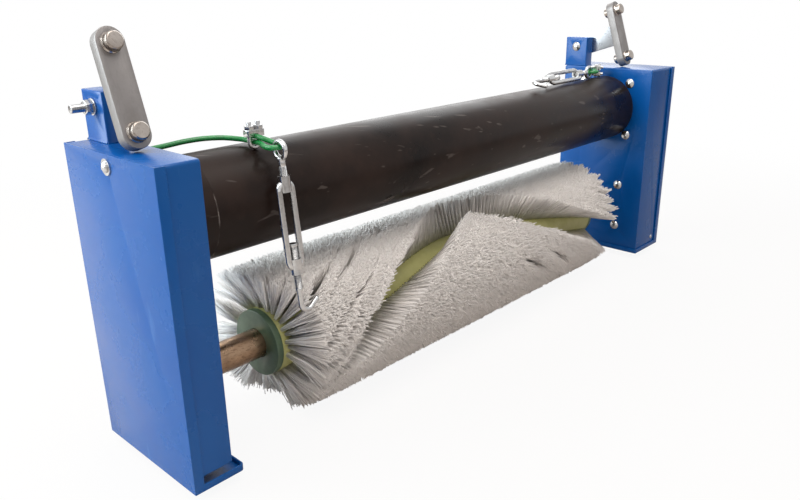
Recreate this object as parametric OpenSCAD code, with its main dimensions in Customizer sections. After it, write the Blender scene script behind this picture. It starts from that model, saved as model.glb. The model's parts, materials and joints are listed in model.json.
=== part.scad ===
// Rotary brush belt cleaner: a motor-driven brush roller between two folded sheet-steel
// housings, joined by a steel tube, with two swing arms and two rope-held turnbuckles.
// X runs along the brush, Y to the back, Z up. X 0 is the middle of the overall width,
// Y 0 the plane of the brush and tube axes, Z 0 the lowest bristle tips.

/* [Brush] */
// Length of the brush core, the belt width that it cleans
core_len = 1000; // [600:10:1600]
// Diameter of the brush core
core_d = 114; // [100:1:130]
// Diameter over the bristle tips
bristle_d = 275; // [250:1:300]
// Diameter of the brush shaft
shaft_d = 50; // [40:1:60]
// Thickness of the discs that close the core
disc_t = 12; // [6:1:25]
// Wall of the core tube
core_wall = 12; // [6:1:20]
// Number of bristle bands round the core
bands = 2; // [1:1:3]
// Rows of tufts in one band
band_rows = 10; // [6:1:10]
// Groups of tufts along one row
row_groups = 8; // [4:2:12]
// Angle from one row to the next in a band, degrees
row_pitch = 15; // [10:0.5:16]
// Width of a row at its root
row_root_w = 9; // [5:0.5:10]
// Gap between the tips of neighbouring rows, degrees
tip_gap = 1.4; // [0.5:0.1:4]
// Twist of the rows, degrees in every 100 mm of core
row_twist = 25; // [5:1:40]
// Angle of the bare gap at mid-length, degrees up from the front
gap_angle = 92; // [0:1:180]
// How far the end tufts lean out past the core
end_flare = 18; // [0:1:30]

/* [Housings] */
// Space from the left housing to the brush core
left_space = 144; // [130:1:300]
// Space from the right housing to the brush core
right_space = 131; // [120:1:300]
// Width of the left housing
left_w = 66; // [64:1:110]
// Width of the right housing, which holds the belt drive
right_w = 120; // [112:1:180]
// Depth of both housings
housing_d = 250; // [240:1:320]
// Height of both housings
housing_h = 475; // [470:1:560]
// Thickness of the folded sheet
sheet_t = 3; // [2:0.5:4]
// Outer fold radius of the inner boxes
fold_r = 5; // [4:0.5:10]
// Width of the lips that the cover folds over the box
lip_w = 16; // [8:1:30]
// Reach of the tray under the left box, past the inner face
tray_reach = 18; // [8:1:30]
// Reach of the tray under the right box
right_tray_reach = 4.5; // [4.5:0.5:20]
// Height of the rims of the trays
rim_h = 11; // [6:1:14]
// Height of the left box's floor over the bottom
box_lift = 20; // [16:1:30]
// Height of the brush axis over the housing's bottom
brush_up = 121; // [118:1:124]
// Height of the tube axis over the housing's bottom
tube_up = 375; // [365:1:380]
// Drop of the cover screw from the housing's top
cover_screw_drop = 17; // [15:1:40]
// Place of the small screw on the right box, from the inner face
low_screw_x = 85; // [20:1:95]
// Height of the small screw over the housing's bottom
low_screw_up = 26; // [25:1:60]

/* [Tube and motor] */
// Outer diameter of the tube
tube_d = 159; // [150:1:168]
// Wall of the tube
tube_wall = 6; // [4:0.5:8]
// Length of the collar at the tube's left end
collar_len = 46; // [20:1:80]
// Wall of the spigots inside the tube's ends
spigot_wall = 5; // [4:0.5:8]
// Length of the left spigot past the collar
spigot_len = 60; // [20:1:120]
// Length of the right spigot
motor_spigot_len = 40; // [20:1:60]
// Thickness of the end plates
end_plate_t = 12; // [8:1:20]
// Space between the tube and the heads of the four bolts round it
tube_bolt_space = 0.9; // [0.5:0.1:2]
// Distance from those bolts to the end plates' edges
end_plate_edge = 12; // [11:0.5:13]
// Length of the gear motor
motor_len = 400; // [300:1:450]
// Diameter of the motor's shaft
motor_shaft_d = 28; // [20:1:32]
// Length of that shaft inside the motor
motor_shaft_in = 58; // [30:1:59]

/* [Bearings and drive] */
// Side of the square flange of the bearing units
flange_w = 143; // [136:1:150]
// Thickness of that flange
flange_t = 16; // [12:1:20]
// Depth of the bearing unit's body
unit_depth = 40; // [30:1:44]
// Spacing of the four bearing bolts, centre to centre
bearing_bolt_gap = 111; // [106:1:114]
// Length of the bearing's inner ring
ring_len = 51; // [45:1:52]
// Wall of the inner ring
ring_wall = 6; // [4:0.5:8]
// Pitch diameter of the pulley on the brush shaft
driven_pd = 150; // [130:1:160]
// Pitch diameter of the pulley on the motor shaft
drive_pd = 100; // [80:1:110]
// Distance from the inner face to the middle of the pulleys
pulley_x = 82; // [80:0.5:84]
// Spacing of the two belts
belt_gap = 15; // [14.5:0.5:18]
// Width of a belt at its back
belt_w = 13; // [10:0.5:13]
// Height of a belt
belt_h = 10; // [7:0.5:10]

/* [Swing arms] */
// Lean of the arms, degrees
arm_lean = 18.5; // [10:0.5:25]
// Width of the arm plate
arm_w = 40; // [36:1:50]
// Thickness of the arm plate
arm_t = 19; // [12:1:22]
// Distance between the two pins of an arm
arm_pin_gap = 118; // [100:1:140]
// Diameter of those pins
arm_pin_d = 25; // [16:0.5:28]
// Reach of the pins past the front of the plate
pin_front = 14; // [8:1:30]
// Reach of the pins past the back of the plate
pin_back = 12; // [6:1:16]
// Distance from the stud to the middle of the arm plate
arm_reach = 98; // [94:1:120]
// Length of the plate past each pin's centre
arm_end = 22; // [20:1:30]
// Left arm plate's middle, outward from the inner face
left_arm_x = 31; // [28:1:44]
// Right arm plate's middle, outward from the inner face
right_arm_x = 45; // [40:1:100]
// Width of the strip between stud and plate
strip_w = 50; // [36:1:52]
// Thickness of that strip
strip_t = 8; // [5:0.5:10]
// Straight length of the strip in front of the stud
strip_leg = 43; // [42:1:50]
// Width of the posts, along X
post_w = 30; // [24:1:30]
// Depth of the posts, along Y
post_d = 60; // [50:1:62]
// Height of the posts over the housing
post_h = 72; // [68:1:76]
// Wall of the posts
post_wall = 4; // [3:0.5:6]
// Distance from the middle plane to the posts' middle
post_y = 93; // [90:1:94]
// Diameter of the studs and bolts
bolt_d = 12; // [10:1:14]

/* [Turnbuckles] */
// Diameter of the wire rope with its coat
rope_d = 8; // [6:0.5:8]
// Height of the rope's hole under the housing's top
rope_drop = 13; // [13:0.5:16]
// Distance of the rope's hole behind the middle plane
rope_y = 42; // [40:1:44]
// Lean of the hanging turnbuckle, degrees
hang_lean = 6.3; // [6.3:0.1:12]
// Diameter of the eye's wire
eye_wire = 8; // [6:0.5:9]
// Inner diameter of the eye
eye_bore = 16; // [15:0.5:20]
// Length of the turnbuckle's body
tb_len = 150; // [120:1:170]
// Diameter of the body's two bars
tb_bar = 10; // [8:0.5:10]
// Distance between the bars' centres
tb_gap = 24; // [24:0.5:28]
// Diameter of the body's end bosses
tb_boss = 19; // [17:0.5:20]
// Diameter of the two screws
tb_screw = 12; // [10:0.5:12]
// Diameter of the hook's wire
hook_wire = 9; // [7:0.5:10]
// Radius of the hook's bend
hook_r = 12; // [10:0.5:16]
// Roll of the lying turnbuckle's body, degrees
lying_roll = 40; // [0:1:60]

/* [Hidden] */
$fn = 64;

// Clearances
seat = 0.3;      // between pieces that lie against each other
run = 0.05;      // radial, in a running fit
slip = 0.5;      // radial, round a bolt in its hole
eps = 0.01;      // overlap of shapes inside one piece
hair = 0.05;     // between the faces of fasteners that are tightened on each other

// Places along the machine
clear_w = left_space + core_len + right_space;
total_w = left_w + clear_w + right_w;
left_x = left_w - total_w / 2;           // the left housing's inner face
right_x = left_x + clear_w;              // the right housing's inner face
core_x0 = left_x + left_space;
core_x1 = core_x0 + core_len;
core_mid = core_x0 + core_len / 2;
bottom_z = bristle_d / 2 - brush_up;     // the housings' bottom
top_z = bottom_z + housing_h;
brush_z = bottom_z + brush_up;
tube_z = bottom_z + tube_up;
box_d = housing_d - 2 * (sheet_t + seat);
right_box_lift = sheet_t + seat;         // the right box stands in its tray

// Fasteners
bolt_r = bolt_d / 2;
head_r = bolt_r + 5.5;
head_h = 6.5;
nut_r = bolt_r * 1.8;
nut_h = bolt_r * 1.7;
washer_t = 2.5;
tube_bolt_gap = (tube_d / 2 + head_r + tube_bolt_space) * sqrt(2);
end_plate_w = tube_bolt_gap + 2 * end_plate_edge;

// Studs of the swing arms
plate_back = arm_reach - arm_t / 2;
stud_y = post_y;
stud_z = top_z + seat + (arm_pin_gap / 2 + arm_end) * cos(arm_lean) - plate_back * sin(arm_lean);
left_stud_tail = 20;                     // thread of the left stud past its nut

// Belt drive
groove_slack = 0.3;
belt_top = 2.8;                          // belt's back over the pitch line
belt_side = tan(19);                     // slope of the belt's sides
pulley_w = belt_gap + 20;
drive_gap = tube_z - brush_z;
wrap = asin((driven_pd - drive_pd) / 2 / drive_gap);
left_shaft_end = 57;
right_shaft_end = pulley_x + pulley_w / 2 + 3;

// Ropes and turnbuckles
rope_r = rope_d / 2;
rope_z = top_z - rope_drop;
loop_r = 12;                             // bend of the rope through the eye
eye_drop = (eye_bore - rope_d) / 2 - seat;
eye_r = (eye_bore + eye_wire) / 2;
neck_end = 56;                           // from the eye's centre to the eye screw's end
body_start = 38;                         // from the eye's centre to the body
hook_start = 140;                        // from the eye's centre to the hook screw's end
stop_collar_r = 6.8;
hook_bend = body_start + tb_len + 48;    // from the eye's centre to the hook's bend
left_loop = [152, -88, -1.2];            // outer end of the left rope's loop, as in left_route
right_loop = [91, 0];                    // the same on the right, as in right_route
left_eye = [left_x + left_loop[0], left_loop[1], rope_z + left_loop[2]];
tb_reach = max((tb_gap + tb_bar) / 2, eye_r + eye_wire / 2);
right_eye = [right_x - right_loop[0], right_loop[1], tube_z + tube_d / 2 + tb_reach + seat];

// The left rope's route, from the stop inside the housing through the eye to the clip.
// X counts from the housing's inner face, Z from the rope's hole.
left_route = [
    [-26, 42, 0], [-12, 42, 0], [2, 42, 0], [18, 42, 0], [45, 42, 1], [75, 40, 3], [102, 33, 4],
    [126, 20, 3.5], [143, 3, 1.5], [151, -12, 0], [152, -20, -0.5], [152, -28, -0.5],
    [152, -36, -0.5], [149.5, -47, -0.7], [144, -60, -0.9], [140.3, -70, -1.1], [140, -76, -1.2],
    [143.5, -84.5, -1.2], [152, -88, -1.2], [160.5, -84.5, -1.2], [164, -76, -1.2],
    [163, -68, 0], [159, -57, 3], [154, -46, 6.5], [152, -36, 8], [152, -28, 8], [152, -20, 8],
    [152, -10, 8.5]
];
left_clip = [152, -28, -0.5];

// The right rope's route, in the same way, with X counted towards the left
right_route = [
    [-26, 42, 0], [-12, 42, 0], [2, 42, 0], [10, 41.4, 0.8], [20, 37.5, 3.8], [31, 31, 7.2],
    [40, 25.6, 8.6], [48, 21, 9], [56, 16.4, 9], [65, 12.9, 9.4], [73, 12, 9.8], [79, 12, 9.8],
    [87.5, 8.5, 9.8], [91, 0, 9.8], [87.5, -8.5, 9.8], [79, -12, 9.8], [70, -10.5, 9.8],
    [61, -2.5, 9.4], [52, 8.9, 9], [44, 13.5, 9], [36, 18.1, 9], [28, 22.2, 9]
];
right_clip = [48, 21, 9];
right_clip_turn = 30;
clip_wire = 7;
clip_leg = rope_r + 0.6 + clip_wire / 2;
clip_lift = 8.5;                         // from one rope to the other in the clip

// Small tools

module along_x(length) {
    rotate([90, 0, 90]) linear_extrude(length) children();
}

module rod_x(x0, x1, r) {
    translate([x0, 0, 0]) rotate([0, 90, 0]) cylinder(h = x1 - x0, r = r);
}

module rounded(w, h, r) {
    square([w - 2 * r, h], center = true);
    square([w, h - 2 * r], center = true);
    for (x = [-1, 1], y = [-1, 1])
        translate([x * (w / 2 - r), y * (h / 2 - r)]) circle(r);
}

module on_left() {
    translate([left_x, 0, 0]) mirror([1, 0, 0]) children();
}

module on_right() {
    translate([right_x, 0, 0]) children();
}

module four(gap) {
    for (y = [-1, 1], z = [-1, 1])
        translate([0, y * gap / 2, z * gap / 2]) children();
}

// A bolt along +X with a domed head against the plane X 0
module domed_bolt(length, r = bolt_r, head = head_r, rise = head_h) {
    rod_x(0, length, r);
    rotate([0, -90, 0]) rotate_extrude() intersection() {
        square([head, rise]);
        translate([0, rise - head * 1.35]) circle(head * 1.35, $fn = 96);
    }
}

module hex_nut(h, r = bolt_r, across = nut_r) {
    difference() {
        rotate([0, 90, 0]) cylinder(h = h, r = across, $fn = 6);
        rod_x(-1, h + 1, r + run);
    }
}

module washer(h, r, bore) {
    difference() {
        rod_x(0, h, r);
        rod_x(-1, h + 1, bore);
    }
}

// Housings. X counts outwards from the housing's inner face.

module inner_box(w, lift) {
    depth = w - sheet_t - seat;
    height = housing_h - lift;
    tab = 40;
    difference() {
        union() {
            difference() {
                translate([0, 0, top_z - height / 2]) along_x(depth)
                    rounded(box_d, height, fold_r);
                translate([sheet_t, 0, top_z - height / 2]) along_x(depth)
                    rounded(box_d - 2 * sheet_t, height - 2 * sheet_t, fold_r - sheet_t);
            }
            // Folded tab that takes the cover's screw
            translate([depth - sheet_t, -tab / 2, top_z - tab]) cube([sheet_t, tab, tab - eps]);
        }
        translate([0, 0, tube_z]) {
            rod_x(-1, sheet_t + 1, tube_d / 2 - tube_wall);
            four(tube_bolt_gap) rod_x(-1, sheet_t + 1, bolt_r + slip);
        }
        translate([0, 0, brush_z]) {
            rod_x(-1, sheet_t + 1, shaft_d / 2 + ring_wall);
            four(bearing_bolt_gap) rod_x(-1, sheet_t + 1, bolt_r + slip);
        }
        translate([0, rope_y, rope_z]) rod_x(-1, sheet_t + 1, rope_r + 2.3);
        translate([0, 0, top_z - cover_screw_drop])
            rod_x(depth - sheet_t - 1, depth + 1, 4 + slip);
    }
}

module cover(w, reach) {
    half = housing_d / 2;
    difference() {
        translate([0, 0, bottom_z]) {
            // Outer face with its two lips
            linear_extrude(housing_h) difference() {
                translate([w - lip_w, -half]) square([lip_w, housing_d]);
                translate([w - lip_w - 1, -half + sheet_t])
                    square([lip_w + 1 - sheet_t, housing_d - 2 * sheet_t]);
            }
            // Tray with its rim
            difference() {
                linear_extrude(rim_h) tray_outline(w, reach, 0);
                translate([0, 0, sheet_t]) linear_extrude(rim_h) tray_outline(w, reach, sheet_t);
            }
        }
        translate([0, 0, top_z - cover_screw_drop]) rod_x(w - lip_w, w + 1, 4 + slip);
    }
}

module tray_outline(w, reach, inset) {
    length = w + reach - 2 * inset;
    depth = housing_d - 2 * inset;
    r = min(fold_r + 1, reach) - inset;
    translate([inset - reach + length / 2, 0]) {
        translate([r / 2, 0]) square([length - r, depth], center = true);
        square([length, depth - 2 * r], center = true);
        for (y = [-1, 1]) translate([r - length / 2, y * (depth / 2 - r)]) circle(r);
    }
}

module cover_screw(w) {
    depth = w - sheet_t - seat;
    translate([w, 0, top_z - cover_screw_drop]) {
        washer(2, 11.5, 4 + slip);
        translate([2 + hair, 0, 0]) mirror([1, 0, 0]) domed_bolt(22, 4, 7.5, 5);
        translate([depth - w - sheet_t - 6.5, 0, 0]) hex_nut(6.5, 4, 7.2);
    }
}

module post(bolt_side) {
    inner = [post_w - 2 * post_wall, post_d - 2 * post_wall];
    bead = 2;
    difference() {
        union() {
            translate([0, post_y - post_d / 2, top_z]) cube([post_w, post_d, post_h]);
            // Weld beads round the foot
            for (s = [-1, 1]) translate([0, post_y + s * post_d / 2, top_z])
                rotate([90, 0, 90]) linear_extrude(post_w)
                    polygon([[s * bead, 0], [-s * eps, bead * 2], [-s * eps, 0]]);
            translate([post_w, post_y + post_d / 2, top_z]) rotate([90, 0, 0])
                linear_extrude(post_d) polygon([[-eps, 0], [bead, 0], [-eps, bead * 2]]);
        }
        translate([post_wall, post_y - inner[1] / 2, top_z - 1])
            cube([inner[0], inner[1], post_h + 1 - post_wall]);
        translate([0, stud_y, stud_z]) rod_x(-1, post_w + 1, bolt_r + run);
    }
}

// The left stud has its head on the strip, inside, and its thread outside
module left_stud_shape() {
    translate([-seat - strip_t - seat, stud_y, stud_z])
        domed_bolt(strip_t + 2 * seat + post_w + washer_t + nut_h + left_stud_tail);
}

// The right bolt has its head on the post, inside, and its nut on the strip, outside
module right_stud_shape() {
    translate([0, stud_y, stud_z])
        domed_bolt(post_w + 2 * seat + strip_t + washer_t + nut_h + 4);
}

module stud_nut(x) {
    translate([x, stud_y, stud_z]) {
        washer(washer_t, bolt_r * 2, bolt_r + run);
        translate([washer_t + hair, 0, 0]) hex_nut(nut_h);
    }
}

// Swing arms: Y and Z lean with the arm, and count from the stud

module arm_place(x) {
    translate([x, stud_y, stud_z]) rotate([-arm_lean, 0, 0]) children();
}

module arm_plate(x) {
    arm_place(x) difference() {
        translate([0, -plate_back, 0]) rotate([90, 0, 0]) linear_extrude(arm_t) {
            square([arm_w, arm_pin_gap + 2 * arm_end - arm_w], center = true);
            for (z = [-1, 1]) translate([0, z * (arm_pin_gap / 2 + arm_end - arm_w / 2)])
                circle(arm_w / 2);
        }
        for (z = [-1, 1]) translate([0, 1 - plate_back, z * arm_pin_gap / 2])
            rotate([90, 0, 0]) cylinder(h = arm_t + 2, d = arm_pin_d + 0.04);
    }
}

// Each pin passes through the plate, and a weld bead holds it at the plate's front
module arm_pins(x) {
    chamfer = 2;
    bead = 2;
    length = pin_front + arm_t + pin_back;
    r = arm_pin_d / 2;
    face = pin_back + arm_t + hair;
    arm_place(x) for (z = [-1, 1])
        translate([0, pin_back - plate_back, z * arm_pin_gap / 2]) rotate([90, 0, 0])
            rotate_extrude() polygon([
                [0, 0], [r - chamfer, 0], [r, chamfer], [r, face], [r + bead, face],
                [r, face + bead], [r, length - chamfer], [r - chamfer, length], [0, length]
            ]);
}

// The strip from the stud to the plate: a flat leg against the post, then a bend outwards
module arm_strip(leg_x, plate_x) {
    back = bolt_r * 2 + 8;
    run_x = plate_x - leg_x;
    turn = atan2(run_x, plate_back - strip_leg);
    half = strip_t / 2;
    bend_steps = 5;
    outer_bend = [for (i = [0:bend_steps]) let (a = turn * i / bend_steps)
        [-half * cos(a), -strip_leg - half * sin(a)]];
    arm_place(0) difference() {
        translate([leg_x, 0, -strip_w / 2]) linear_extrude(strip_w) polygon(concat(
            [[half, back], [-half, back]],
            outer_bend,
            [[run_x - half / cos(turn), -plate_back], [run_x + half / cos(turn), -plate_back],
             [half, half * tan(turn / 2) - strip_leg]]
        ));
        rod_x(leg_x - strip_t, leg_x + strip_t, bolt_r + run);
    }
}

// Bearing units, bolted inside the boxes on the brush axis

module bearing_housing() {
    bore = shaft_d / 2 + ring_wall + run;
    neck = bore + 18;
    translate([sheet_t, 0, brush_z]) difference() {
        union() {
            along_x(flange_t) rounded(flange_w, flange_w, 16);
            rotate([90, 0, 90]) rotate_extrude() polygon([
                [0, 0], [neck + 4, 0], [neck + 4, flange_t], [neck, flange_t + 4],
                [neck - 4, unit_depth - 3], [neck - 7, unit_depth], [0, unit_depth]
            ]);
        }
        rod_x(-1, unit_depth + 1, bore);
        four(bearing_bolt_gap) rod_x(-1, flange_t + 1, bolt_r + slip);
    }
}

module bearing_ring() {
    translate([sheet_t + 0.5, 0, brush_z])
        washer(ring_len, shaft_d / 2 + ring_wall, shaft_d / 2 + 0.02);
}

module bearing_bolts() {
    translate([0, 0, brush_z]) four(bearing_bolt_gap) {
        domed_bolt(sheet_t + flange_t + nut_h + 3);
        translate([sheet_t + flange_t, 0, 0]) hex_nut(nut_h);
    }
}

module tube_bolts() {
    translate([0, 0, tube_z]) four(tube_bolt_gap) domed_bolt(sheet_t + end_plate_t + 3);
}

// Tube, its end plates and the gear motor inside it

module end_plate(spigot, bore) {
    outer = tube_d / 2 - tube_wall - seat;
    translate([0, 0, tube_z]) difference() {
        union() {
            translate([sheet_t, 0, 0]) along_x(end_plate_t)
                rounded(end_plate_w, end_plate_w, 8);
            rod_x(-spigot, sheet_t + eps, outer);
        }
        rod_x(-spigot - 1, sheet_t, outer - spigot_wall);
        rod_x(0, sheet_t + end_plate_t + 1, bore);
        four(tube_bolt_gap) rod_x(0, sheet_t + end_plate_t + 1, bolt_r + run);
    }
}

module tube_piece(x0, x1) {
    translate([0, 0, tube_z]) difference() {
        rod_x(x0, x1, tube_d / 2);
        rod_x(x0 - 1, x1 + 1, tube_d / 2 - tube_wall);
    }
}

module motor_body() {
    r = tube_d / 2 - tube_wall - spigot_wall - 2 * seat;
    front = motor_len * 0.38;
    translate([0, 0, tube_z]) difference() {
        rotate([0, -90, 0]) rotate_extrude() polygon([
            [0, -sheet_t], [r, -sheet_t], [r, front], [r - 5, front + 5],
            [r - 5, motor_len - 40], [r - 9, motor_len - 36], [r - 9, motor_len - 6],
            [r - 15, motor_len], [0, motor_len]
        ]);
        rod_x(-motor_shaft_in - 2, sheet_t + 1, motor_shaft_d / 2 + run);
    }
}

// Belt drive in the right housing

module belt_section(r, slack) {
    top = belt_w / 2 + slack + (slack > 0 ? belt_side : 0);
    low = belt_w / 2 - belt_h * belt_side + slack;
    rise = slack > 0 ? 1 : 0;
    polygon([
        [r + belt_top + rise, -top], [r + belt_top + rise, top],
        [r + belt_top - belt_h - slack * 3, low - slack],
        [r + belt_top - belt_h - slack * 3, -low + slack]
    ]);
}

module pulley(pd, bore) {
    rim = pd / 2 + belt_top;
    hub = bore + 12;
    recess = rim - belt_h - 9;
    rotate([90, 0, 90]) difference() {
        translate([0, 0, -pulley_w / 2]) cylinder(h = pulley_w, r = rim, $fn = 96);
        translate([0, 0, -pulley_w]) cylinder(h = pulley_w * 2, r = bore + 0.02);
        for (s = [-1, 1]) {
            translate([0, 0, s * belt_gap / 2]) rotate_extrude($fn = 96)
                belt_section(pd / 2, groove_slack);
            translate([0, 0, s * pulley_w / 2 - 7]) difference() {
                cylinder(h = 14, r = max(recess, hub));
                translate([0, 0, -1]) cylinder(h = 16, r = hub);
            }
        }
    }
}

module belt() {
    big = driven_pd / 2;
    small = drive_pd / 2;
    length = drive_gap * cos(wrap);
    rotate([90, 0, 90]) {
        rotate(180 - wrap) rotate_extrude(angle = 180 + 2 * wrap, $fn = 96)
            belt_section(big, 0);
        translate([0, drive_gap, 0]) rotate(wrap)
            rotate_extrude(angle = 180 - 2 * wrap, $fn = 96) belt_section(small, 0);
        for (s = [0, 1]) mirror([s, 0, 0]) rotate(wrap) rotate([-90, 0, 0])
            translate([0, 0, -eps]) linear_extrude(length + 2 * eps)
                belt_section(big, 0);
    }
}

// Brush

function row_angle(x, a0) = gap_angle + a0 - row_twist / 100 * (core_mid - x);
function flare_at(x) = end_flare * pow(max(0, 1 - (x - core_x0) / flare_reach), 2);
function on_brush(x, r, a) = [x, -r * cos(a), brush_z + r * sin(a)];

group_steps = 3;
group_gap = 0.4;                         // between neighbouring groups of tufts
flare_reach = 90;                        // length of core over which the end tufts lean out
root_gap = 0.6;                          // between the core and the rows' roots
root_r = core_d / 2 + root_gap;
bristle_len = bristle_d / 2 - root_r;

// One ring of a row's mesh in the left half: two root points and three tip points
function row_ring(x, a0) =
    let (a = row_angle(x, a0),
         f = flare_at(x),
         tip_r = root_r + sqrt(bristle_len * bristle_len - f * f),
         root_a = asin(row_root_w / 2 / root_r),
         tip_a = (row_pitch - tip_gap) / 2)
    [on_brush(x, root_r, a + root_a), on_brush(x - f, tip_r, a + tip_a),
     on_brush(x - f, tip_r, a), on_brush(x - f, tip_r, a - tip_a),
     on_brush(x, root_r, a - root_a)];

// A closed tube through rings of points, which run anticlockwise seen from the last ring
// Quads are cut on the other diagonal at the places in the list other.
module ring_solid(rings, other = []) {
    n = len(rings[0]);
    last = len(rings) - 1;
    points = [for (ring = rings) each ring];
    sides = [for (i = [0:last - 1], k = [0:n - 1])
        let (a = i * n + k, b = i * n + (k + 1) % n)
        each len(search(k, other)) > 0 ? [[a, a + n, b], [b, a + n, b + n]]
            : [[a, b + n, b], [a, a + n, b + n]]];
    polyhedron(points, concat([[for (k = [0:n - 1]) k]], sides,
        [[for (k = [n - 1:-1:0]) last * n + k]]));
}

// The left half of one row, in groups of tufts
module half_row(a0) {
    pitch = core_len / row_groups;
    for (g = [0:row_groups / 2 - 1]) {
        x0 = core_x0 + g * pitch + (g > 0 ? group_gap / 2 : 0);
        x1 = core_x0 + (g + 1) * pitch - group_gap / 2;
        ring_solid([for (i = [0:group_steps]) row_ring(x0 + (x1 - x0) * i / group_steps, a0)],
            [3, 4]);
    }
}

module half_rows() {
    for (b = [0:bands - 1], k = [0:band_rows - 1])
        half_row(b * 360 / bands + (360 / bands - band_rows * row_pitch) / 2
            + (k + 0.5) * row_pitch);
}

module core_end(x) {
    translate([x, 0, brush_z]) washer(disc_t, core_d / 2, shaft_d / 2 + 0.02);
}

// Ropes, clips and turnbuckles

// A point on the smooth curve through the route
function spline(p, i, t) =
    let (n = len(p),
         a = p[max(i - 1, 0)],
         b = p[i],
         c = p[min(i + 1, n - 1)],
         d = p[min(i + 2, n - 1)])
    0.5 * (2 * b + (c - a) * t + (2 * a - 5 * b + 4 * c - d) * t * t
        + (3 * b - a - 3 * c + d) * t * t * t);
function smooth(p, steps) =
    concat([for (i = [0:len(p) - 2], k = [0:steps - 1]) spline(p, i, k / steps)],
        [p[len(p) - 1]]);
function unit(v) = v / norm(v);
function side_of(d, old) = unit(old - (old * d) * d);
function sides_along(dirs, i, v) =
    i >= len(dirs) ? [] : let (w = side_of(dirs[i], v)) concat([w], sides_along(dirs, i + 1, w));

module rope_tube(route, r) {
    line = smooth(route, 2);
    last = len(line) - 1;
    dirs = [for (i = [0:last]) unit(line[min(i + 1, last)] - line[max(i - 1, 0)])];
    across = sides_along(dirs, 0, [0, 0, 1]);
    ring_solid([for (i = [0:last])
        let (u = across[i], v = cross(dirs[i], u))
        [for (k = [0:7]) line[i] + r * (cos(45 * k) * u + sin(45 * k) * v)]]);
}

function left_place(p) = [left_x + p[0], p[1], rope_z + p[2]];
function right_place(p) = [right_x - p[0], p[1], rope_z + p[2]];

module grommet() {
    translate([0, rope_y, rope_z]) difference() {
        union() {
            rod_x(-2, 0, rope_r + 4.8);
            rod_x(-eps, sheet_t + eps, rope_r + 2);
            rod_x(sheet_t, sheet_t + 2, rope_r + 4.8);
        }
        rod_x(-3, sheet_t + 3, rope_r + seat);
    }
}

module rope_stop() {
    translate([0, rope_y, rope_z]) {
        translate([8, 0, 0]) washer(16, rope_r + 2.8, rope_r + run);
    }
}

// U-bolt, saddle and two nuts; the ropes run along Y, the legs stand up
module rope_clip() {
    saddle = clip_lift + rope_r + 0.4;
    union() {
        rotate([90, 180, 0]) rotate_extrude(angle = 180) translate([clip_leg, 0])
            circle(clip_wire / 2, $fn = 32);
        for (s = [-1, 1]) translate([s * clip_leg, 0, -eps])
            cylinder(h = saddle + 18, d = clip_wire);
    }
    difference() {
        translate([-clip_leg - 6, -7, saddle - 4])
            cube([clip_leg * 2 + 12, 14, 10]);
        translate([0, 0, clip_lift]) rotate([90, 0, 0])
            cylinder(h = 20, r = rope_r + 0.6, center = true);
        for (s = [-1, 1]) translate([s * clip_leg, 0, 0])
            cylinder(h = saddle + 20, d = clip_wire + 0.2);
    }
    for (s = [-1, 1]) translate([s * clip_leg, 0, saddle + 6 + hair]) difference() {
        cylinder(h = 6, r = clip_leg - 0.4, $fn = 6);
        translate([0, 0, -1]) cylinder(h = 8, d = clip_wire + 0.1);
    }
}

// Turnbuckles: the eye hangs on the rope at the origin and the screws point down -Z

module turnbuckle_place(p, turn) {
    translate(p) rotate(turn) translate([0, 0, -eye_drop]) children();
}

module eye_screw(roll) {
    rotate([0, 0, roll]) rotate([0, 90, 0]) rotate_extrude() translate([eye_r, 0])
        circle(eye_wire / 2, $fn = 32);
    translate([0, 0, -neck_end]) cylinder(h = neck_end - eye_r + 1, d = tb_screw);
}

module turnbuckle_body(roll) {
    boss = 24;
    low = -body_start - tb_len;
    arch = tb_gap / 2 + tb_bar / 2 + 5;
    rotate([0, 0, roll]) difference() {
        union() {
            for (z = [low, -body_start - boss]) translate([0, 0, z])
                cylinder(h = boss, d = tb_boss);
            for (s = [-1, 1]) translate([s * tb_gap / 2, 0, low + arch])
                cylinder(h = tb_len - 2 * arch, d = tb_bar, $fn = 32);
            translate([0, 0, -body_start - arch]) rotate([90, 0, 0])
                rotate_extrude(angle = 180) translate([tb_gap / 2, 0])
                    circle(tb_bar / 2, $fn = 32);
            translate([0, 0, low + arch]) rotate([90, 180, 0])
                rotate_extrude(angle = 180) translate([tb_gap / 2, 0])
                    circle(tb_bar / 2, $fn = 32);
        }
        translate([0, 0, low - 1]) cylinder(h = tb_len + 2, r = tb_screw / 2 + run);
    }
}

module hook_screw(roll) {
    open_turn = 145;
    tip = 12;
    rotate([0, 0, roll]) {
        translate([0, 0, -hook_bend + 20]) cylinder(h = hook_bend - 20 - hook_start, d = tb_screw);
        translate([0, 0, -hook_start - 5]) cylinder(h = 5, r = stop_collar_r);
        translate([0, 0, -hook_bend]) cylinder(h = 21, d = hook_wire, $fn = 32);
        translate([hook_r, 0, -hook_bend]) {
            rotate([90, 180, 0]) rotate_extrude(angle = open_turn) translate([hook_r, 0])
                circle(hook_wire / 2, $fn = 32);
            rotate([0, 180 - open_turn, 0]) translate([hook_r, 0, -1])
                rotate_extrude($fn = 32) {
                    square([hook_wire / 2 - 0.1, tip + 1]);
                    translate([0, tip + 1]) intersection() {
                        circle(hook_wire / 2 - 0.1);
                        square(hook_wire);
                    }
                }
        }
    }
}

// Named pieces

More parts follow.
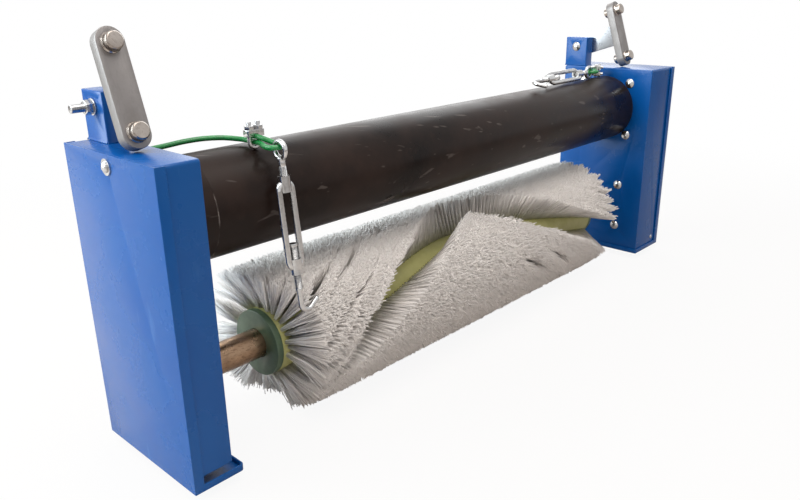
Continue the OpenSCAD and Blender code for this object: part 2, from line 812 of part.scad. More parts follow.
module left_inner_box() color("royalblue") on_left() inner_box(left_w, box_lift);
module right_inner_box() color("royalblue") on_right() difference() {
    inner_box(right_w, right_box_lift);
    translate([low_screw_x, sheet_t + 1 - box_d / 2, bottom_z + low_screw_up])
        rotate([90, 0, 0]) cylinder(h = sheet_t + 2, r = 2.5 + run);
}
module left_cover() color("mediumblue") on_left() cover(left_w, tray_reach);
module right_cover() color("mediumblue") on_right() cover(right_w, right_tray_reach);
module left_cover_screw() color("silver") on_left() cover_screw(left_w);
module right_cover_screw() color("silver") on_right() cover_screw(right_w);
module left_post() color("royalblue") on_left() post();
module right_post() color("royalblue") on_right() post();
module left_stud() color("silver") on_left() left_stud_shape();
module right_stud() color("silver") on_right() right_stud_shape();
module left_stud_nut() color("lightgray") on_left() stud_nut(post_w);
module right_stud_nut() color("lightgray") on_right() stud_nut(post_w + 2 * seat + strip_t);

module left_arm_plate() color("gray") on_left() arm_plate(left_arm_x);
module right_arm_plate() color("gray") on_right() arm_plate(right_arm_x);
module left_arm_pins() color("silver") on_left() arm_pins(left_arm_x);
module right_arm_pins() color("silver") on_right() arm_pins(right_arm_x);
module left_arm_strip() color("gray") on_left() arm_strip(-seat - strip_t / 2, left_arm_x);
module right_arm_strip() color("gray") on_right()
    arm_strip(post_w + seat + strip_t / 2, right_arm_x);

module left_bearing_housing() color("dimgray") on_left() bearing_housing();
module right_bearing_housing() color("dimgray") on_right() bearing_housing();
module left_bearing_ring() color("silver") on_left() bearing_ring();
module right_bearing_ring() color("silver") on_right() bearing_ring();
module left_bearing_bolts() color("silver") on_left() bearing_bolts();
module right_bearing_bolts() color("silver") on_right() bearing_bolts();

module left_tube_flange() color("dimgray") on_left()
    end_plate(collar_len + spigot_len, tube_d / 2 - tube_wall - spigot_wall - 10);
module left_tube_bolts() color("silver") on_left() tube_bolts();
module right_tube_bolts() color("silver") on_right() tube_bolts();
module left_tube_collar() color("black") tube_piece(left_x, left_x + collar_len);
module carrier_tube() color([0.15, 0.13, 0.12]) tube_piece(left_x + collar_len, right_x);
module gear_motor() color("slategray") on_right() motor_body();
module motor_flange() color("dimgray") on_right()
    end_plate(motor_spigot_len, motor_shaft_d / 2 + 4);
module motor_shaft() color("silver") on_right() translate([0, 0, tube_z])
    rod_x(-motor_shaft_in, right_shaft_end, motor_shaft_d / 2);
module drive_pulley() color("gray") on_right() translate([pulley_x, 0, tube_z])
    pulley(drive_pd, motor_shaft_d / 2);
module driven_pulley() color("gray") on_right() translate([pulley_x, 0, brush_z])
    pulley(driven_pd, shaft_d / 2);
module drive_belts() color("black") on_right()
    for (s = [-1, 1]) translate([pulley_x + s * belt_gap / 2, 0, brush_z]) belt();

module brush_shaft() color([0.5, 0.44, 0.38]) translate([0, 0, brush_z])
    rod_x(left_x - left_shaft_end, right_x + right_shaft_end, shaft_d / 2);
module brush_core() color([0.6, 0.62, 0.36]) translate([0, 0, brush_z]) difference() {
    rod_x(core_x0 + disc_t, core_x1 - disc_t, core_d / 2);
    rod_x(core_x0, core_x1, core_d / 2 - core_wall);
}
module left_end_disc() color([0.42, 0.5, 0.44]) core_end(core_x0);
module right_end_disc() color([0.42, 0.5, 0.44]) core_end(core_x1 - disc_t);
module left_bristle_rows() color([0.8, 0.79, 0.76]) half_rows();
module right_bristle_rows() color([0.8, 0.79, 0.76])
    translate([2 * core_mid, 0, 0]) mirror([1, 0, 0]) half_rows();

module left_grommet() color("black") on_left() grommet();
module right_grommet() color("black") on_right() grommet();
module left_rope() color("seagreen")
    rope_tube([for (p = left_route) left_place(p)], rope_r);
module right_rope() color("seagreen")
    rope_tube([for (p = right_route) right_place(p)], rope_r);
module left_rope_stop() color("silver") on_left() rope_stop();
module right_rope_stop() color("silver") on_right() rope_stop();
module left_rope_clip() color("lightgray") translate(left_place(left_clip)) rope_clip();
module right_rope_clip() color("lightgray") translate(right_place(right_clip))
    rotate([0, 0, right_clip_turn]) rotate([90, 0, 0]) rotate([0, 0, 90]) rope_clip();

module at_left_eye() turnbuckle_place(left_eye, [-hang_lean, 0, 0]) children();
module at_right_eye() turnbuckle_place(right_eye, [0, 90, 0]) children();
module left_eye_screw() color("silver") at_left_eye() eye_screw(0);
module left_turnbuckle_body() color("lightgray") at_left_eye() turnbuckle_body(0);
module left_hook_screw() color("silver") at_left_eye() hook_screw(0);
module right_eye_screw() color("silver") at_right_eye() eye_screw(90);
module right_turnbuckle_body() color("lightgray") at_right_eye() turnbuckle_body(-lying_roll);
module right_hook_screw() color("silver") at_right_eye() hook_screw(-75);

module right_low_screw() color("silver") on_right()
    translate([low_screw_x, -box_d / 2, bottom_z + low_screw_up]) rotate([0, 0, 90])
        domed_bolt(9, 2.5, 5, 3);

left_inner_box();
left_cover();
left_cover_screw();
left_post();
left_stud();
left_stud_nut();
left_arm_plate();
left_arm_pins();
left_arm_strip();
left_bearing_housing();
left_bearing_ring();
left_bearing_bolts();
left_tube_flange();
left_tube_bolts();
left_tube_collar();
left_grommet();
left_rope();
left_rope_clip();
left_rope_stop();
left_eye_screw();
left_turnbuckle_body();
left_hook_screw();
right_inner_box();
right_cover();
right_cover_screw();
right_low_screw();
right_post();
right_stud();
right_stud_nut();
right_arm_plate();
right_arm_pins();
right_arm_strip();
right_bearing_housing();
right_bearing_ring();
right_bearing_bolts();
right_tube_bolts();
right_grommet();
right_rope();
right_rope_clip();
right_rope_stop();
right_eye_screw();
right_turnbuckle_body();
right_hook_screw();
carrier_tube();
gear_motor();
motor_flange();
motor_shaft();
drive_pulley();
driven_pulley();
drive_belts();
brush_shaft();
brush_core();
left_end_disc();
right_end_disc();
left_bristle_rows();
right_bristle_rows();
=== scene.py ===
# Rotary brush belt cleaner: finishes, bristles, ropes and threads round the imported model.
# Metres, X along the brush, Y to the back, Z up.
import json
import math
import bpy
import numpy as np
from mathutils import Matrix, Vector

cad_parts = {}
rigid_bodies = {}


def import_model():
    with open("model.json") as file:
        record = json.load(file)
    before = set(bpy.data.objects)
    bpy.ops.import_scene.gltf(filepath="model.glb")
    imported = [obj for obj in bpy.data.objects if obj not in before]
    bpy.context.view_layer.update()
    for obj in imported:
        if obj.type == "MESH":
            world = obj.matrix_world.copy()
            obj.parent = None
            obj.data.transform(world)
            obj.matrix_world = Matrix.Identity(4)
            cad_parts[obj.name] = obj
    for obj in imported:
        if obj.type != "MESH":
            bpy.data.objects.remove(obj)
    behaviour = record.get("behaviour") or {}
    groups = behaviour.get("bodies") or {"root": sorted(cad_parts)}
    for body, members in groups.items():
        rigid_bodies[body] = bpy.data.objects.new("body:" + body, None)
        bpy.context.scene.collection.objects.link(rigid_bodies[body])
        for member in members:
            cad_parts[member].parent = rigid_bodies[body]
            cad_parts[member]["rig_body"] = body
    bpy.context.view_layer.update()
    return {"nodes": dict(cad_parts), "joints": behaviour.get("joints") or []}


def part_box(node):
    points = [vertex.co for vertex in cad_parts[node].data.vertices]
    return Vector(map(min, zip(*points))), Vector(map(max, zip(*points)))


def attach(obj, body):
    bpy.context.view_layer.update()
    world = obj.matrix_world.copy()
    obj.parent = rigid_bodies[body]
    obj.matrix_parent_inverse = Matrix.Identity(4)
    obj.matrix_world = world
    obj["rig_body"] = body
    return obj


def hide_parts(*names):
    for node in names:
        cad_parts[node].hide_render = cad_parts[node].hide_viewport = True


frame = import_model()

nodes = frame["nodes"]
joints = {joint["name"]: joint for joint in frame["joints"]}
scene = bpy.context.scene
mm = 0.001


def pick(piece):
    bpy.ops.object.select_all(action='DESELECT')
    piece.select_set(True)
    bpy.context.view_layer.objects.active = piece


def settle(piece):
    # the place, turn and size go into the mesh
    pick(piece)
    bpy.ops.object.transform_apply(location=True, rotation=True, scale=True)


def applyAll(piece):
    pick(piece)
    for modifier in list(piece.modifiers):
        bpy.ops.object.modifier_apply(modifier=modifier.name)


def joinPieces(name, parts):
    bpy.ops.object.select_all(action='DESELECT')
    for part in parts:
        part.select_set(True)
    bpy.context.view_layer.objects.active = parts[0]
    bpy.ops.object.join()
    parts[0].name = name
    parts[0].data.name = name
    return parts[0]


def smoothByAngle(piece, degrees=35):
    pick(piece)
    bpy.ops.object.shade_smooth_by_angle(angle=math.radians(degrees))


def finishPiece(piece, name, body, material, replaced=()):
    piece.name = name
    piece.data.name = name
    piece.data.materials.clear()
    piece.data.materials.append(material)
    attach(piece, body)
    if replaced:
        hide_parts(*replaced)
    return piece


# Camera

cameraPlace = {
    "position": (-1.1594, -0.9367, 0.6914),
    "azimuth": 46.56,     # degrees from +Y towards +X
    "drop": 19.56,        # degrees below the horizon
    "roll": -0.89,
    "lens": 33.2,
}


def addCamera(place):
    azimuth, drop, roll = (math.radians(place[key]) for key in ("azimuth", "drop", "roll"))
    forward = Vector((math.sin(azimuth) * math.cos(drop), math.cos(azimuth) * math.cos(drop),
                      -math.sin(drop)))
    side = forward.cross(Vector((0, 0, 1))).normalized()
    up = side.cross(forward)
    right = side * math.cos(roll) + up * math.sin(roll)
    top = up * math.cos(roll) - side * math.sin(roll)
    bpy.ops.object.select_all(action='DESELECT')
    bpy.ops.object.camera_add()
    camera = bpy.context.object
    camera.matrix_world = Matrix((
        (right.x, top.x, -forward.x, place["position"][0]),
        (right.y, top.y, -forward.y, place["position"][1]),
        (right.z, top.z, -forward.z, place["position"][2]),
        (0, 0, 0, 1)))
    camera.data.lens = place["lens"]
    camera.data.sensor_width = 36
    camera.data.clip_start = 0.05
    scene.camera = camera


addCamera(cameraPlace)
scene.view_settings.view_transform = 'Standard'
print("camera placed")


# Node helpers

def newNode(tree, kind, **values):
    node = tree.nodes.new(kind)
    for key, value in values.items():
        if hasattr(node, key):
            setattr(node, key, value)
        else:
            node.inputs[key.replace("_", " ")].default_value = value
    return node


def newGroup(name, inputs, outputs):
    tree = bpy.data.node_groups.new(name, 'ShaderNodeTree')
    for socket, kind, value in inputs:
        made = tree.interface.new_socket(name=socket, in_out='INPUT', socket_type=kind)
        made.default_value = value
    for socket, kind in outputs:
        tree.interface.new_socket(name=socket, in_out='OUTPUT', socket_type=kind)
    return tree, tree.nodes.new('NodeGroupInput'), tree.nodes.new('NodeGroupOutput')


def useGroup(tree, group, **values):
    node = tree.nodes.new('ShaderNodeGroup')
    node.node_tree = group
    for key, value in values.items():
        node.inputs[key].default_value = value
    return node


number = 'NodeSocketFloat'


def mottleGroup():
    # soft patches: 0 outside, 1 inside
    tree, given, made = newGroup("mottle", [("Scale", number, 8.0), ("Low", number, 0.4),
                                            ("High", number, 0.6)], [("Mask", number)])
    place = newNode(tree, 'ShaderNodeTexCoord')
    noise = newNode(tree, 'ShaderNodeTexNoise', Detail=5.0, Roughness=0.6)
    span = newNode(tree, 'ShaderNodeMapRange')
    tree.links.new(place.outputs["Object"], noise.inputs["Vector"])
    tree.links.new(given.outputs["Scale"], noise.inputs["Scale"])
    tree.links.new(noise.outputs["Fac"], span.inputs["Value"])
    tree.links.new(given.outputs["Low"], span.inputs["From Min"])
    tree.links.new(given.outputs["High"], span.inputs["From Max"])
    tree.links.new(span.outputs["Result"], made.inputs["Mask"])
    return tree


def streakGroup():
    # thin scratches: noise drawn out by Stretch, cut at its peaks
    tree, given, made = newGroup("streaks", [("Scale", number, 60.0), ("Stretch X", number, 1.0),
                                             ("Stretch Y", number, 1.0),
                                             ("Stretch Z", number, 1.0), ("Cut", number, 0.66)],
                                 [("Mask", number)])
    place = newNode(tree, 'ShaderNodeTexCoord')
    size = newNode(tree, 'ShaderNodeCombineXYZ')
    turn = newNode(tree, 'ShaderNodeVectorRotate', rotation_type='AXIS_ANGLE', Angle=0.35)
    stretch = newNode(tree, 'ShaderNodeVectorMath', operation='MULTIPLY')
    noise = newNode(tree, 'ShaderNodeTexNoise', Detail=2.0, Roughness=0.5)
    top = newNode(tree, 'ShaderNodeMath', operation='ADD')
    span = newNode(tree, 'ShaderNodeMapRange')
    top.inputs[1].default_value = 0.05
    tree.links.new(place.outputs["Object"], turn.inputs["Vector"])
    tree.links.new(turn.outputs["Vector"], stretch.inputs[0])
    for axis in "XYZ":
        tree.links.new(given.outputs["Stretch " + axis], size.inputs[axis])
    tree.links.new(size.outputs["Vector"], stretch.inputs[1])
    tree.links.new(stretch.outputs["Vector"], noise.inputs["Vector"])
    tree.links.new(given.outputs["Scale"], noise.inputs["Scale"])
    tree.links.new(given.outputs["Cut"], top.inputs[0])
    tree.links.new(noise.outputs["Fac"], span.inputs["Value"])
    tree.links.new(given.outputs["Cut"], span.inputs["From Min"])
    tree.links.new(top.outputs["Value"], span.inputs["From Max"])
    tree.links.new(span.outputs["Result"], made.inputs["Mask"])
    return tree


def edgeHighlightGroup():
    # mask for the painted highlight along sharp edges: 1 along them, broken up by noise
    tree, given, made = newGroup("edgeHighlight", [("Width", number, 0.0012),
                                                ("Break", number, 90.0)], [("Mask", number)])
    soft = newNode(tree, 'ShaderNodeBevel', samples=4)
    true = newNode(tree, 'ShaderNodeNewGeometry')
    match = newNode(tree, 'ShaderNodeVectorMath', operation='DOT_PRODUCT')
    span = newNode(tree, 'ShaderNodeMapRange', From_Min=0.995, From_Max=0.90)
    place = newNode(tree, 'ShaderNodeTexCoord')
    noise = newNode(tree, 'ShaderNodeTexNoise', Detail=3.0)
    holes = newNode(tree, 'ShaderNodeMapRange', From_Min=0.42, From_Max=0.6)
    both = newNode(tree, 'ShaderNodeMath', operation='MULTIPLY')
    tree.links.new(given.outputs["Width"], soft.inputs["Radius"])
    tree.links.new(soft.outputs["Normal"], match.inputs[0])
    tree.links.new(true.outputs["Normal"], match.inputs[1])
    tree.links.new(match.outputs["Value"], span.inputs["Value"])
    tree.links.new(place.outputs["Object"], noise.inputs["Vector"])
    tree.links.new(given.outputs["Break"], noise.inputs["Scale"])
    tree.links.new(noise.outputs["Fac"], holes.inputs["Value"])
    tree.links.new(span.outputs["Result"], both.inputs[0])
    tree.links.new(holes.outputs["Result"], both.inputs[1])
    tree.links.new(both.outputs["Value"], made.inputs["Mask"])
    return tree


def grainGroup():
    # fine height for Bump, from coarse and fine noise
    tree, given, made = newGroup("grain", [("Scale", number, 400.0), ("Depth", number, 1.0)],
                                 [("Height", number)])
    place = newNode(tree, 'ShaderNodeTexCoord')
    noise = newNode(tree, 'ShaderNodeTexNoise', Detail=2.0)
    depth = newNode(tree, 'ShaderNodeMath', operation='MULTIPLY')
    tree.links.new(place.outputs["Object"], noise.inputs["Vector"])
    tree.links.new(given.outputs["Scale"], noise.inputs["Scale"])
    tree.links.new(noise.outputs["Fac"], depth.inputs[0])
    tree.links.new(given.outputs["Depth"], depth.inputs[1])
    tree.links.new(depth.outputs["Value"], made.inputs["Height"])
    return tree


mottle = mottleGroup()
streaks = streakGroup()
edgeHighlight = edgeHighlightGroup()
grain = grainGroup()


def startMaterial(name, **values):
    material = bpy.data.materials.new(name)
    material.use_nodes = True
    tree = material.node_tree
    shader = tree.nodes["Principled BSDF"]
    for key, value in values.items():
        shader.inputs[key.replace("_", " ")].default_value = value
    return material, tree, shader


def mixColours(tree, mask, first, second):
    # first and second are colours or sockets
    mix = newNode(tree, 'ShaderNodeMix', data_type='RGBA')
    tree.links.new(mask, mix.inputs["Factor"])
    for socket, colour in ((mix.inputs[6], first), (mix.inputs[7], second)):
        if isinstance(colour, bpy.types.NodeSocket):
            tree.links.new(colour, socket)
        else:
            socket.default_value = (*colour, 1)
    return mix.outputs[2]


def mixNumbers(tree, mask, low, high):
    span = newNode(tree, 'ShaderNodeMapRange', To_Min=low, To_Max=high)
    tree.links.new(mask, span.inputs["Value"])
    return span.outputs["Result"]


def addBump(tree, shader, height, strength, distance=0.0005):
    bump = newNode(tree, 'ShaderNodeBump', Strength=strength, Distance=distance)
    tree.links.new(height, bump.inputs["Height"])
    tree.links.new(bump.outputs["Normal"], shader.inputs["Normal"])


# Materials

paintLook = {
    "colour": (0.001, 0.078, 0.315),
    "dusty": (0.002, 0.086, 0.325),
    # edge: lighter blue, for scuffs and for the painted highlight along sharp edges
    "edge": (0.07, 0.21, 0.49),
    "scuffed": 0.22,          # share of the edge colour in a scuff, and in the painted highlight along sharp edges
    "edgeHighlightShare": 0.55,
    "roughness": (0.20, 0.30),
    "orangePeel": 260.0,
    "peelDepth": 0.10,
}


def bluePaintMaterial(look):
    material, tree, shader = startMaterial("bluePaint", Specular_IOR_Level=0.28)
    patch = useGroup(tree, mottle, Scale=7.0, Low=0.42, High=0.62)
    scuff = useGroup(tree, streaks, **{"Scale": 55.0, "Stretch X": 1.0, "Stretch Y": 0.7,
                                       "Stretch Z": 0.12, "Cut": 0.69})
    highlightMask = useGroup(tree, edgeHighlight, Width=0.0011, Break=60.0)
    peel = useGroup(tree, grain, Scale=look["orangePeel"])
    base = mixColours(tree, patch.outputs[0], look["colour"], look["dusty"])
    scuffed = mixColours(tree, mixNumbers(tree, scuff.outputs[0], 0.0, look["scuffed"]), base,
                         look["edge"])
    # painted highlight: the lighter edge colour along sharp edges
    highlighted = mixColours(tree, mixNumbers(tree, highlightMask.outputs[0], 0.0, look["edgeHighlightShare"]), scuffed,
                      look["edge"])
    tree.links.new(highlighted, shader.inputs["Base Color"])
    tree.links.new(mixNumbers(tree, patch.outputs[0], *look["roughness"]),
                   shader.inputs["Roughness"])
    addBump(tree, shader, peel.outputs[0], look["peelDepth"])
    return material


tubeLook = {
    "colour": (0.006, 0.0035, 0.003),
    "brown": (0.023, 0.013, 0.010),
    "scratch": (0.10, 0.085, 0.078),
    # edge: painted highlight along the tube's sharp edges
    "edge": (0.30, 0.27, 0.25),
    "spotted": 0.5,           # share of the brown in a spot, and of the scratch colour
    "scratched": 0.6,
    "roughness": (0.26, 0.42),
    "grain": 300.0,
    "grainDepth": 0.12,
}


def tubeMaterial(look):
    # mill-scale steel under a thin black coat
    material, tree, shader = startMaterial("blackTube", Specular_IOR_Level=0.14)
    patch = useGroup(tree, mottle, Scale=5.5, Low=0.40, High=0.66)
    small = useGroup(tree, mottle, Scale=42.0, Low=0.56, High=0.70)
    long = useGroup(tree, streaks, **{"Scale": 30.0, "Stretch X": 0.10, "Stretch Y": 2.2,
                                      "Stretch Z": 2.2, "Cut": 0.66})
    highlightMask = useGroup(tree, edgeHighlight, Width=0.0022, Break=30.0)
    skin = useGroup(tree, grain, Scale=look["grain"])
    base = mixColours(tree, patch.outputs[0], look["colour"], look["brown"])
    spotted = mixColours(tree, mixNumbers(tree, small.outputs[0], 0.0, look["spotted"]), base,
                         look["brown"])
    scratched = mixColours(tree, mixNumbers(tree, long.outputs[0], 0.0, look["scratched"]),
                           spotted, look["scratch"])
    # painted highlight along sharp edges
    highlighted = mixColours(tree, highlightMask.outputs[0], scratched, look["edge"])
    tree.links.new(highlighted, shader.inputs["Base Color"])
    tree.links.new(mixNumbers(tree, patch.outputs[0], *look["roughness"]),
                   shader.inputs["Roughness"])
    addBump(tree, shader, skin.outputs[0], look["grainDepth"])
    return material


def metalMaterial(name, colour, stain, roughness, brushed=(1.0, 1.0, 1.0), stained=0.5,
                  streaked=0.25, grainScale=500.0, bump=0.08, metallic=1.0):
    material, tree, shader = startMaterial(name, Metallic=metallic)
    patch = useGroup(tree, mottle, Scale=45.0, Low=0.40, High=0.68)
    lines = useGroup(tree, streaks, **{"Scale": 220.0, "Stretch X": brushed[0],
                                       "Stretch Y": brushed[1], "Stretch Z": brushed[2],
                                       "Cut": 0.56})
    skin = useGroup(tree, grain, Scale=grainScale)
    base = mixColours(tree, mixNumbers(tree, patch.outputs[0], 0.0, stained), colour, stain)
    lined = mixColours(tree, mixNumbers(tree, lines.outputs[0], 0.0, streaked), base, stain)
    tree.links.new(lined, shader.inputs["Base Color"])
    tree.links.new(mixNumbers(tree, patch.outputs[0], *roughness), shader.inputs["Roughness"])
    addBump(tree, shader, skin.outputs[0], bump)
    return material


def plasticMaterial(name, colour, second, roughness, scale=30.0, grainScale=350.0, bump=0.08,
                    specular=0.5):
    material, tree, shader = startMaterial(name, Specular_IOR_Level=specular)
    patch = useGroup(tree, mottle, Scale=scale, Low=0.38, High=0.66)
    skin = useGroup(tree, grain, Scale=grainScale)
    tree.links.new(mixColours(tree, patch.outputs[0], colour, second),
                   shader.inputs["Base Color"])
    tree.links.new(mixNumbers(tree, patch.outputs[0], *roughness), shader.inputs["Roughness"])
    addBump(tree, shader, skin.outputs[0], bump)
    return material


nylonLook = {
    "warm": (0.93, 0.885, 0.85),      # strands lie between the two by their tone
    "white": (0.99, 0.97, 0.945),
    "speckle": (0.84, 0.80, 0.77),
    "speckled": 0.15,
    "root": (0.76, 0.75, 0.52),       # painted shade and green bounce light from the core at the roots, up to this share of the height
    "rootShadeRise": 0.32,
    "roughness": 0.42,
    "glow": 0.7,                      # light that passes through, and how deep
    "glowDepth": 4 * mm,
    "sheen": 0.5,
}


def nylonMaterial(look):
    # tone is a value for each strand, rise runs from 0 at the root to 1 at the tip
    material, tree, shader = startMaterial(
        "nylonBristle", Roughness=look["roughness"], Specular_IOR_Level=0.45,
        Subsurface_Weight=look["glow"], Subsurface_Radius=(1.0, 1.0, 1.0),
        Subsurface_Scale=look["glowDepth"], Sheen_Weight=look["sheen"], Sheen_Roughness=0.5)
    tone = newNode(tree, 'ShaderNodeAttribute', attribute_name="tone")
    rise = newNode(tree, 'ShaderNodeAttribute', attribute_name="rise")
    speckle = useGroup(tree, mottle, Scale=620.0, Low=0.40, High=0.60)
    strand = mixColours(tree, tone.outputs["Fac"], look["warm"], look["white"])
    spotted = mixColours(tree, mixNumbers(tree, speckle.outputs[0], 0.0, look["speckled"]),
                         strand, look["speckle"])
    # painted shade and green bounce light at the roots, fading out up the strand
    root = newNode(tree, 'ShaderNodeMapRange', From_Min=0.0, From_Max=look["rootShadeRise"])
    tree.links.new(rise.outputs["Fac"], root.inputs["Value"])
    tree.links.new(mixColours(tree, root.outputs["Result"], look["root"], spotted),
                   shader.inputs["Base Color"])
    return material


materials = {
    # slot: name, colour, colour of its patches, roughness off and on them
    "blue_paint": bluePaintMaterial(paintLook),
    "tube_steel": tubeMaterial(tubeLook),
    "shaft_steel": metalMaterial("shaftSteel", (0.36, 0.24, 0.155), (0.15, 0.09, 0.056),
                                 (0.26, 0.44), brushed=(0.04, 2.0, 2.0), streaked=0.5),
    "zinc": metalMaterial("zincPlate", (0.60, 0.60, 0.60), (0.30, 0.30, 0.31), (0.17, 0.32)),
    "arm_steel": metalMaterial("armSteel", (0.245, 0.232, 0.228), (0.195, 0.184, 0.180),
                               (0.36, 0.48), brushed=(1.5, 1.5, 0.05), streaked=0.3,
                               metallic=0.45),
    "cast_iron": plasticMaterial("castIron", (0.05, 0.055, 0.06), (0.09, 0.09, 0.09),
                                 (0.5, 0.7), bump=0.3),
    "core_plastic": plasticMaterial("corePlastic", (0.46, 0.46, 0.19), (0.39, 0.39, 0.145),
                                    (0.42, 0.55), scale=24.0),
    "disc_plastic": plasticMaterial("discPlastic", (0.078, 0.130, 0.074), (0.054, 0.092, 0.054),
                                    (0.35, 0.5), scale=30.0),
    "bristle_nylon": nylonMaterial(nylonLook),
    "rope_coat": plasticMaterial("ropeCoat", (0.008, 0.20, 0.045), (0.012, 0.26, 0.06),
                                 (0.22, 0.32), scale=60.0, bump=0.03, specular=0.6),
    "black_rubber": plasticMaterial("blackRubber", (0.012, 0.012, 0.012), (0.02, 0.02, 0.02),
                                    (0.55, 0.7)),
    "motor_paint": plasticMaterial("motorPaint", (0.10, 0.12, 0.14), (0.13, 0.15, 0.17),
                                   (0.4, 0.5)),
    "bearing_steel": metalMaterial("bearingSteel", (0.6, 0.6, 0.6), (0.35, 0.35, 0.35),
                                   (0.2, 0.3)),
}
stripSteel = metalMaterial("stripSteel", (0.42, 0.435, 0.46), (0.30, 0.31, 0.33), (0.26, 0.38),
                           brushed=(0.05, 1.5, 1.5))
pinSteel = metalMaterial("pinSteel", (0.42, 0.375, 0.34), (0.20, 0.165, 0.14), (0.18, 0.32))
# dark colour of the tuft holes: painted shade in the holes
holeShade = plasticMaterial("holeShade", (0.045, 0.05, 0.018), (0.03, 0.035, 0.012), (0.6, 0.8))
print("materials made:", len(materials) + 3)


# The CAD pieces take the finish of their slot

slotOf = {}
for name, node in nodes.items():
    slotOf[name] = node.data.materials[0].name.split(".")[0]
    for index in range(len(node.data.materials)):
        node.data.materials[index] = materials[slotOf[name]]
print("CAD pieces painted:", len(slotOf))


# Sheet metal, plates and fasteners with softened edges

softEdges = {
    # piece on both sides: width of its soft edge in millimetres
    "inner_box": 0.8, "cover": 0.9, "post": 1.6, "arm_plate": 1.2, "arm_strip": 0.9,
    "arm_pins": 0.5, "stud": 0.7, "stud_nut": 0.5, "end_disc": 0.9, "rope_clip": 0.4,
}
edgeLook = {
    "tubeWidth": 0.8,
    "mergeGap": 0.02 * mm,
    "flat": 0.4,          # degrees between faces that become one
    "sharp": 38.0,        # degrees from which an edge is softened
    "segments": 3,
}
ownFinish = {"arm_strip": stripSteel, "arm_pins": pinSteel}


def softEdged(name, width, material, look):
    source = nodes[name]
    piece = bpy.data.objects.new(name + "_finished", source.data.copy())
    scene.collection.objects.link(piece)
    pick(piece)
    bpy.ops.mesh.customdata_custom_splitnormals_clear()
    bpy.ops.object.mode_set(mode='EDIT')
    bpy.ops.mesh.select_all(action='SELECT')
    bpy.ops.mesh.remove_doubles(threshold=look["mergeGap"])
    bpy.ops.mesh.dissolve_limited(angle_limit=math.radians(look["flat"]))
    bpy.ops.object.mode_set(mode='OBJECT')
    bevel = piece.modifiers.new("edge", 'BEVEL')
    bevel.width = width * mm
    bevel.segments = look["segments"]
    bevel.limit_method = 'ANGLE'
    bevel.angle_limit = math.radians(look["sharp"])
    bevel.use_clamp_overlap = False
    bevel.harden_normals = False
    applyAll(piece)
    smoothByAngle(piece, look["sharp"])
    return finishPiece(piece, name + "_finished", source["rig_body"], material,
                       [name])


for kind, width in softEdges.items():
    for name in ("left_" + kind, "right_" + kind):
        softEdged(name, width, ownFinish.get(kind, materials[slotOf[name]]), edgeLook)
softEdged("carrier_tube", edgeLook["tubeWidth"], materials["tube_steel"], edgeLook)
print("edges softened")


# Brush

brushLook = {
    "bands": 2,
    "bandRows": 14,
    "rowPitch": 10.7,         # degrees
    "twist": (250.0, 224.0),  # degrees in a metre of core, left and right of its middle
    "gapAngle": 92.0,         # degrees up from the front, at mid-length
    "tuftPitch": 8.0 * mm,
    "stagger": 0.25,          # of the pitch, to and fro from row to row
    "endSpace": 1 * mm,       # bare core beside each disc
    "strands": 28,            # in one tuft
    "strandSides": 3,
    "strandRadius": (0.50 * mm, 0.68 * mm, 0.85 * mm),     # at the root, half way and the tip
    "rootDepth": 1.5 * mm,    # in the core
    "rootAlong": 3.2 * mm,    # half the tuft's length and width at the root
    "rootAcross": 2.8 * mm,
    "tipOverlap": 1.7,        # how far a tuft's tips reach over the next tuft's
    "rowFill": 0.96,          # share of the row pitch that the tips take
    "endFill": 0.20,          # the same at the right end
    "fingers": 120 * mm,      # where it starts to fall
    "fingerPower": 1.8,
    "lines": 5,               # fine lines that a row's tips lie in
    "lineSpread": 0.06,
    "lineWave": 0.15,
    "lineShort": 3.5 * mm,    # how much lower a line may end, and what shares make it up
    "lineShares": (0.2, 0.2, 0.6),      # the same everywhere, in waves, and line by line
    "ridge": 1.5 * mm,        # how much lower a row's sides end than its middle
    "waves": ((0.6, 19.0), (0.4, 47.0)),    # share and radians in a metre of each slow wave
    "tuftLean": 0.6 * mm,
    "tuftTwist": 0.2,         # degrees
    "waveLean": 2.0 * mm,     # slow waves along a row
    "waveTwist": 1.5,         # degrees
    "uneven": 13.0 * mm,      # spread of the strands' lengths
    "strandLean": 4.0 * mm,
    "leanCost": 0.6,          # share of a tip's lean that takes from its height
    "combLean": 17 * mm,      # the front leans to the right, most at combAngle
    "combAngle": -10.0,
    "combFade": 300 * mm,     # from the right end
    "wildShare": 0.02,
    "wildLean": 5 * mm,
    "wildTwist": 1.2,         # degrees
    "outLean": 30 * mm,       # outwards at the left end's top and back
    "inLean": 30 * mm,        # inwards at its front and below
    "sideSharp": 3.0,         # how fast one turns to the other
    "lowLean": 25 * mm,       # more of it round lowAngle
    "lowAngle": -98.0,
    "lowWidth": 16.0,
    "outAngle": 150.0,
    "rightLean": 3 * mm,
    "endZone": 110 * mm,
    "endPower": 1.5,
    "gapLean": -0.6,          # degrees that the rows beside the gap lean into it
    "gapClosed": 15.0,        # the same at the left end
    "gapOpenFrom": 0.36,      # metres left of the middle, where the gap starts to close
    "gapClosedAt": 0.5,
    "dip": 10.0,              # degrees that the rows under the gap lean out of it
    "dipAt": 0.14,            # metres right of the middle
    "dipWidth": 0.22,
    "dipRows": 4,
    "clefts": [
        # the row before it, metres right of the middle, reach along it, degrees each way
        (4, -0.44, 0.04, 6.0), (3, -0.33, 0.04, 3.5), (1, -0.45, 0.035, 5.0),
        (22, 0.12, 0.04, 4.0), (24, 0.22, 0.05, 4.0),
    ],
    "cleftRows": 1.5,         # how far beside a cleft the rows still lean
    "bundles": 3,             # thick bundles inside a tuft, side by side across the row
    "bundleSides": 5,
    "bundleRadius": (1.6 * mm, 2.5 * mm, 3.6 * mm),
    "bundleSpan": 0.9,
    "bundleShort": 9 * mm,    # how far a bundle ends under the tips
    "tuftTone": 0.35,         # shares of a strand's tone
    "strandTone": 0.32,
    "bundleTone": 0.4,
    "seed": 11,
}
strandTurn = 2.399            # radians from one strand's corners to the next one's


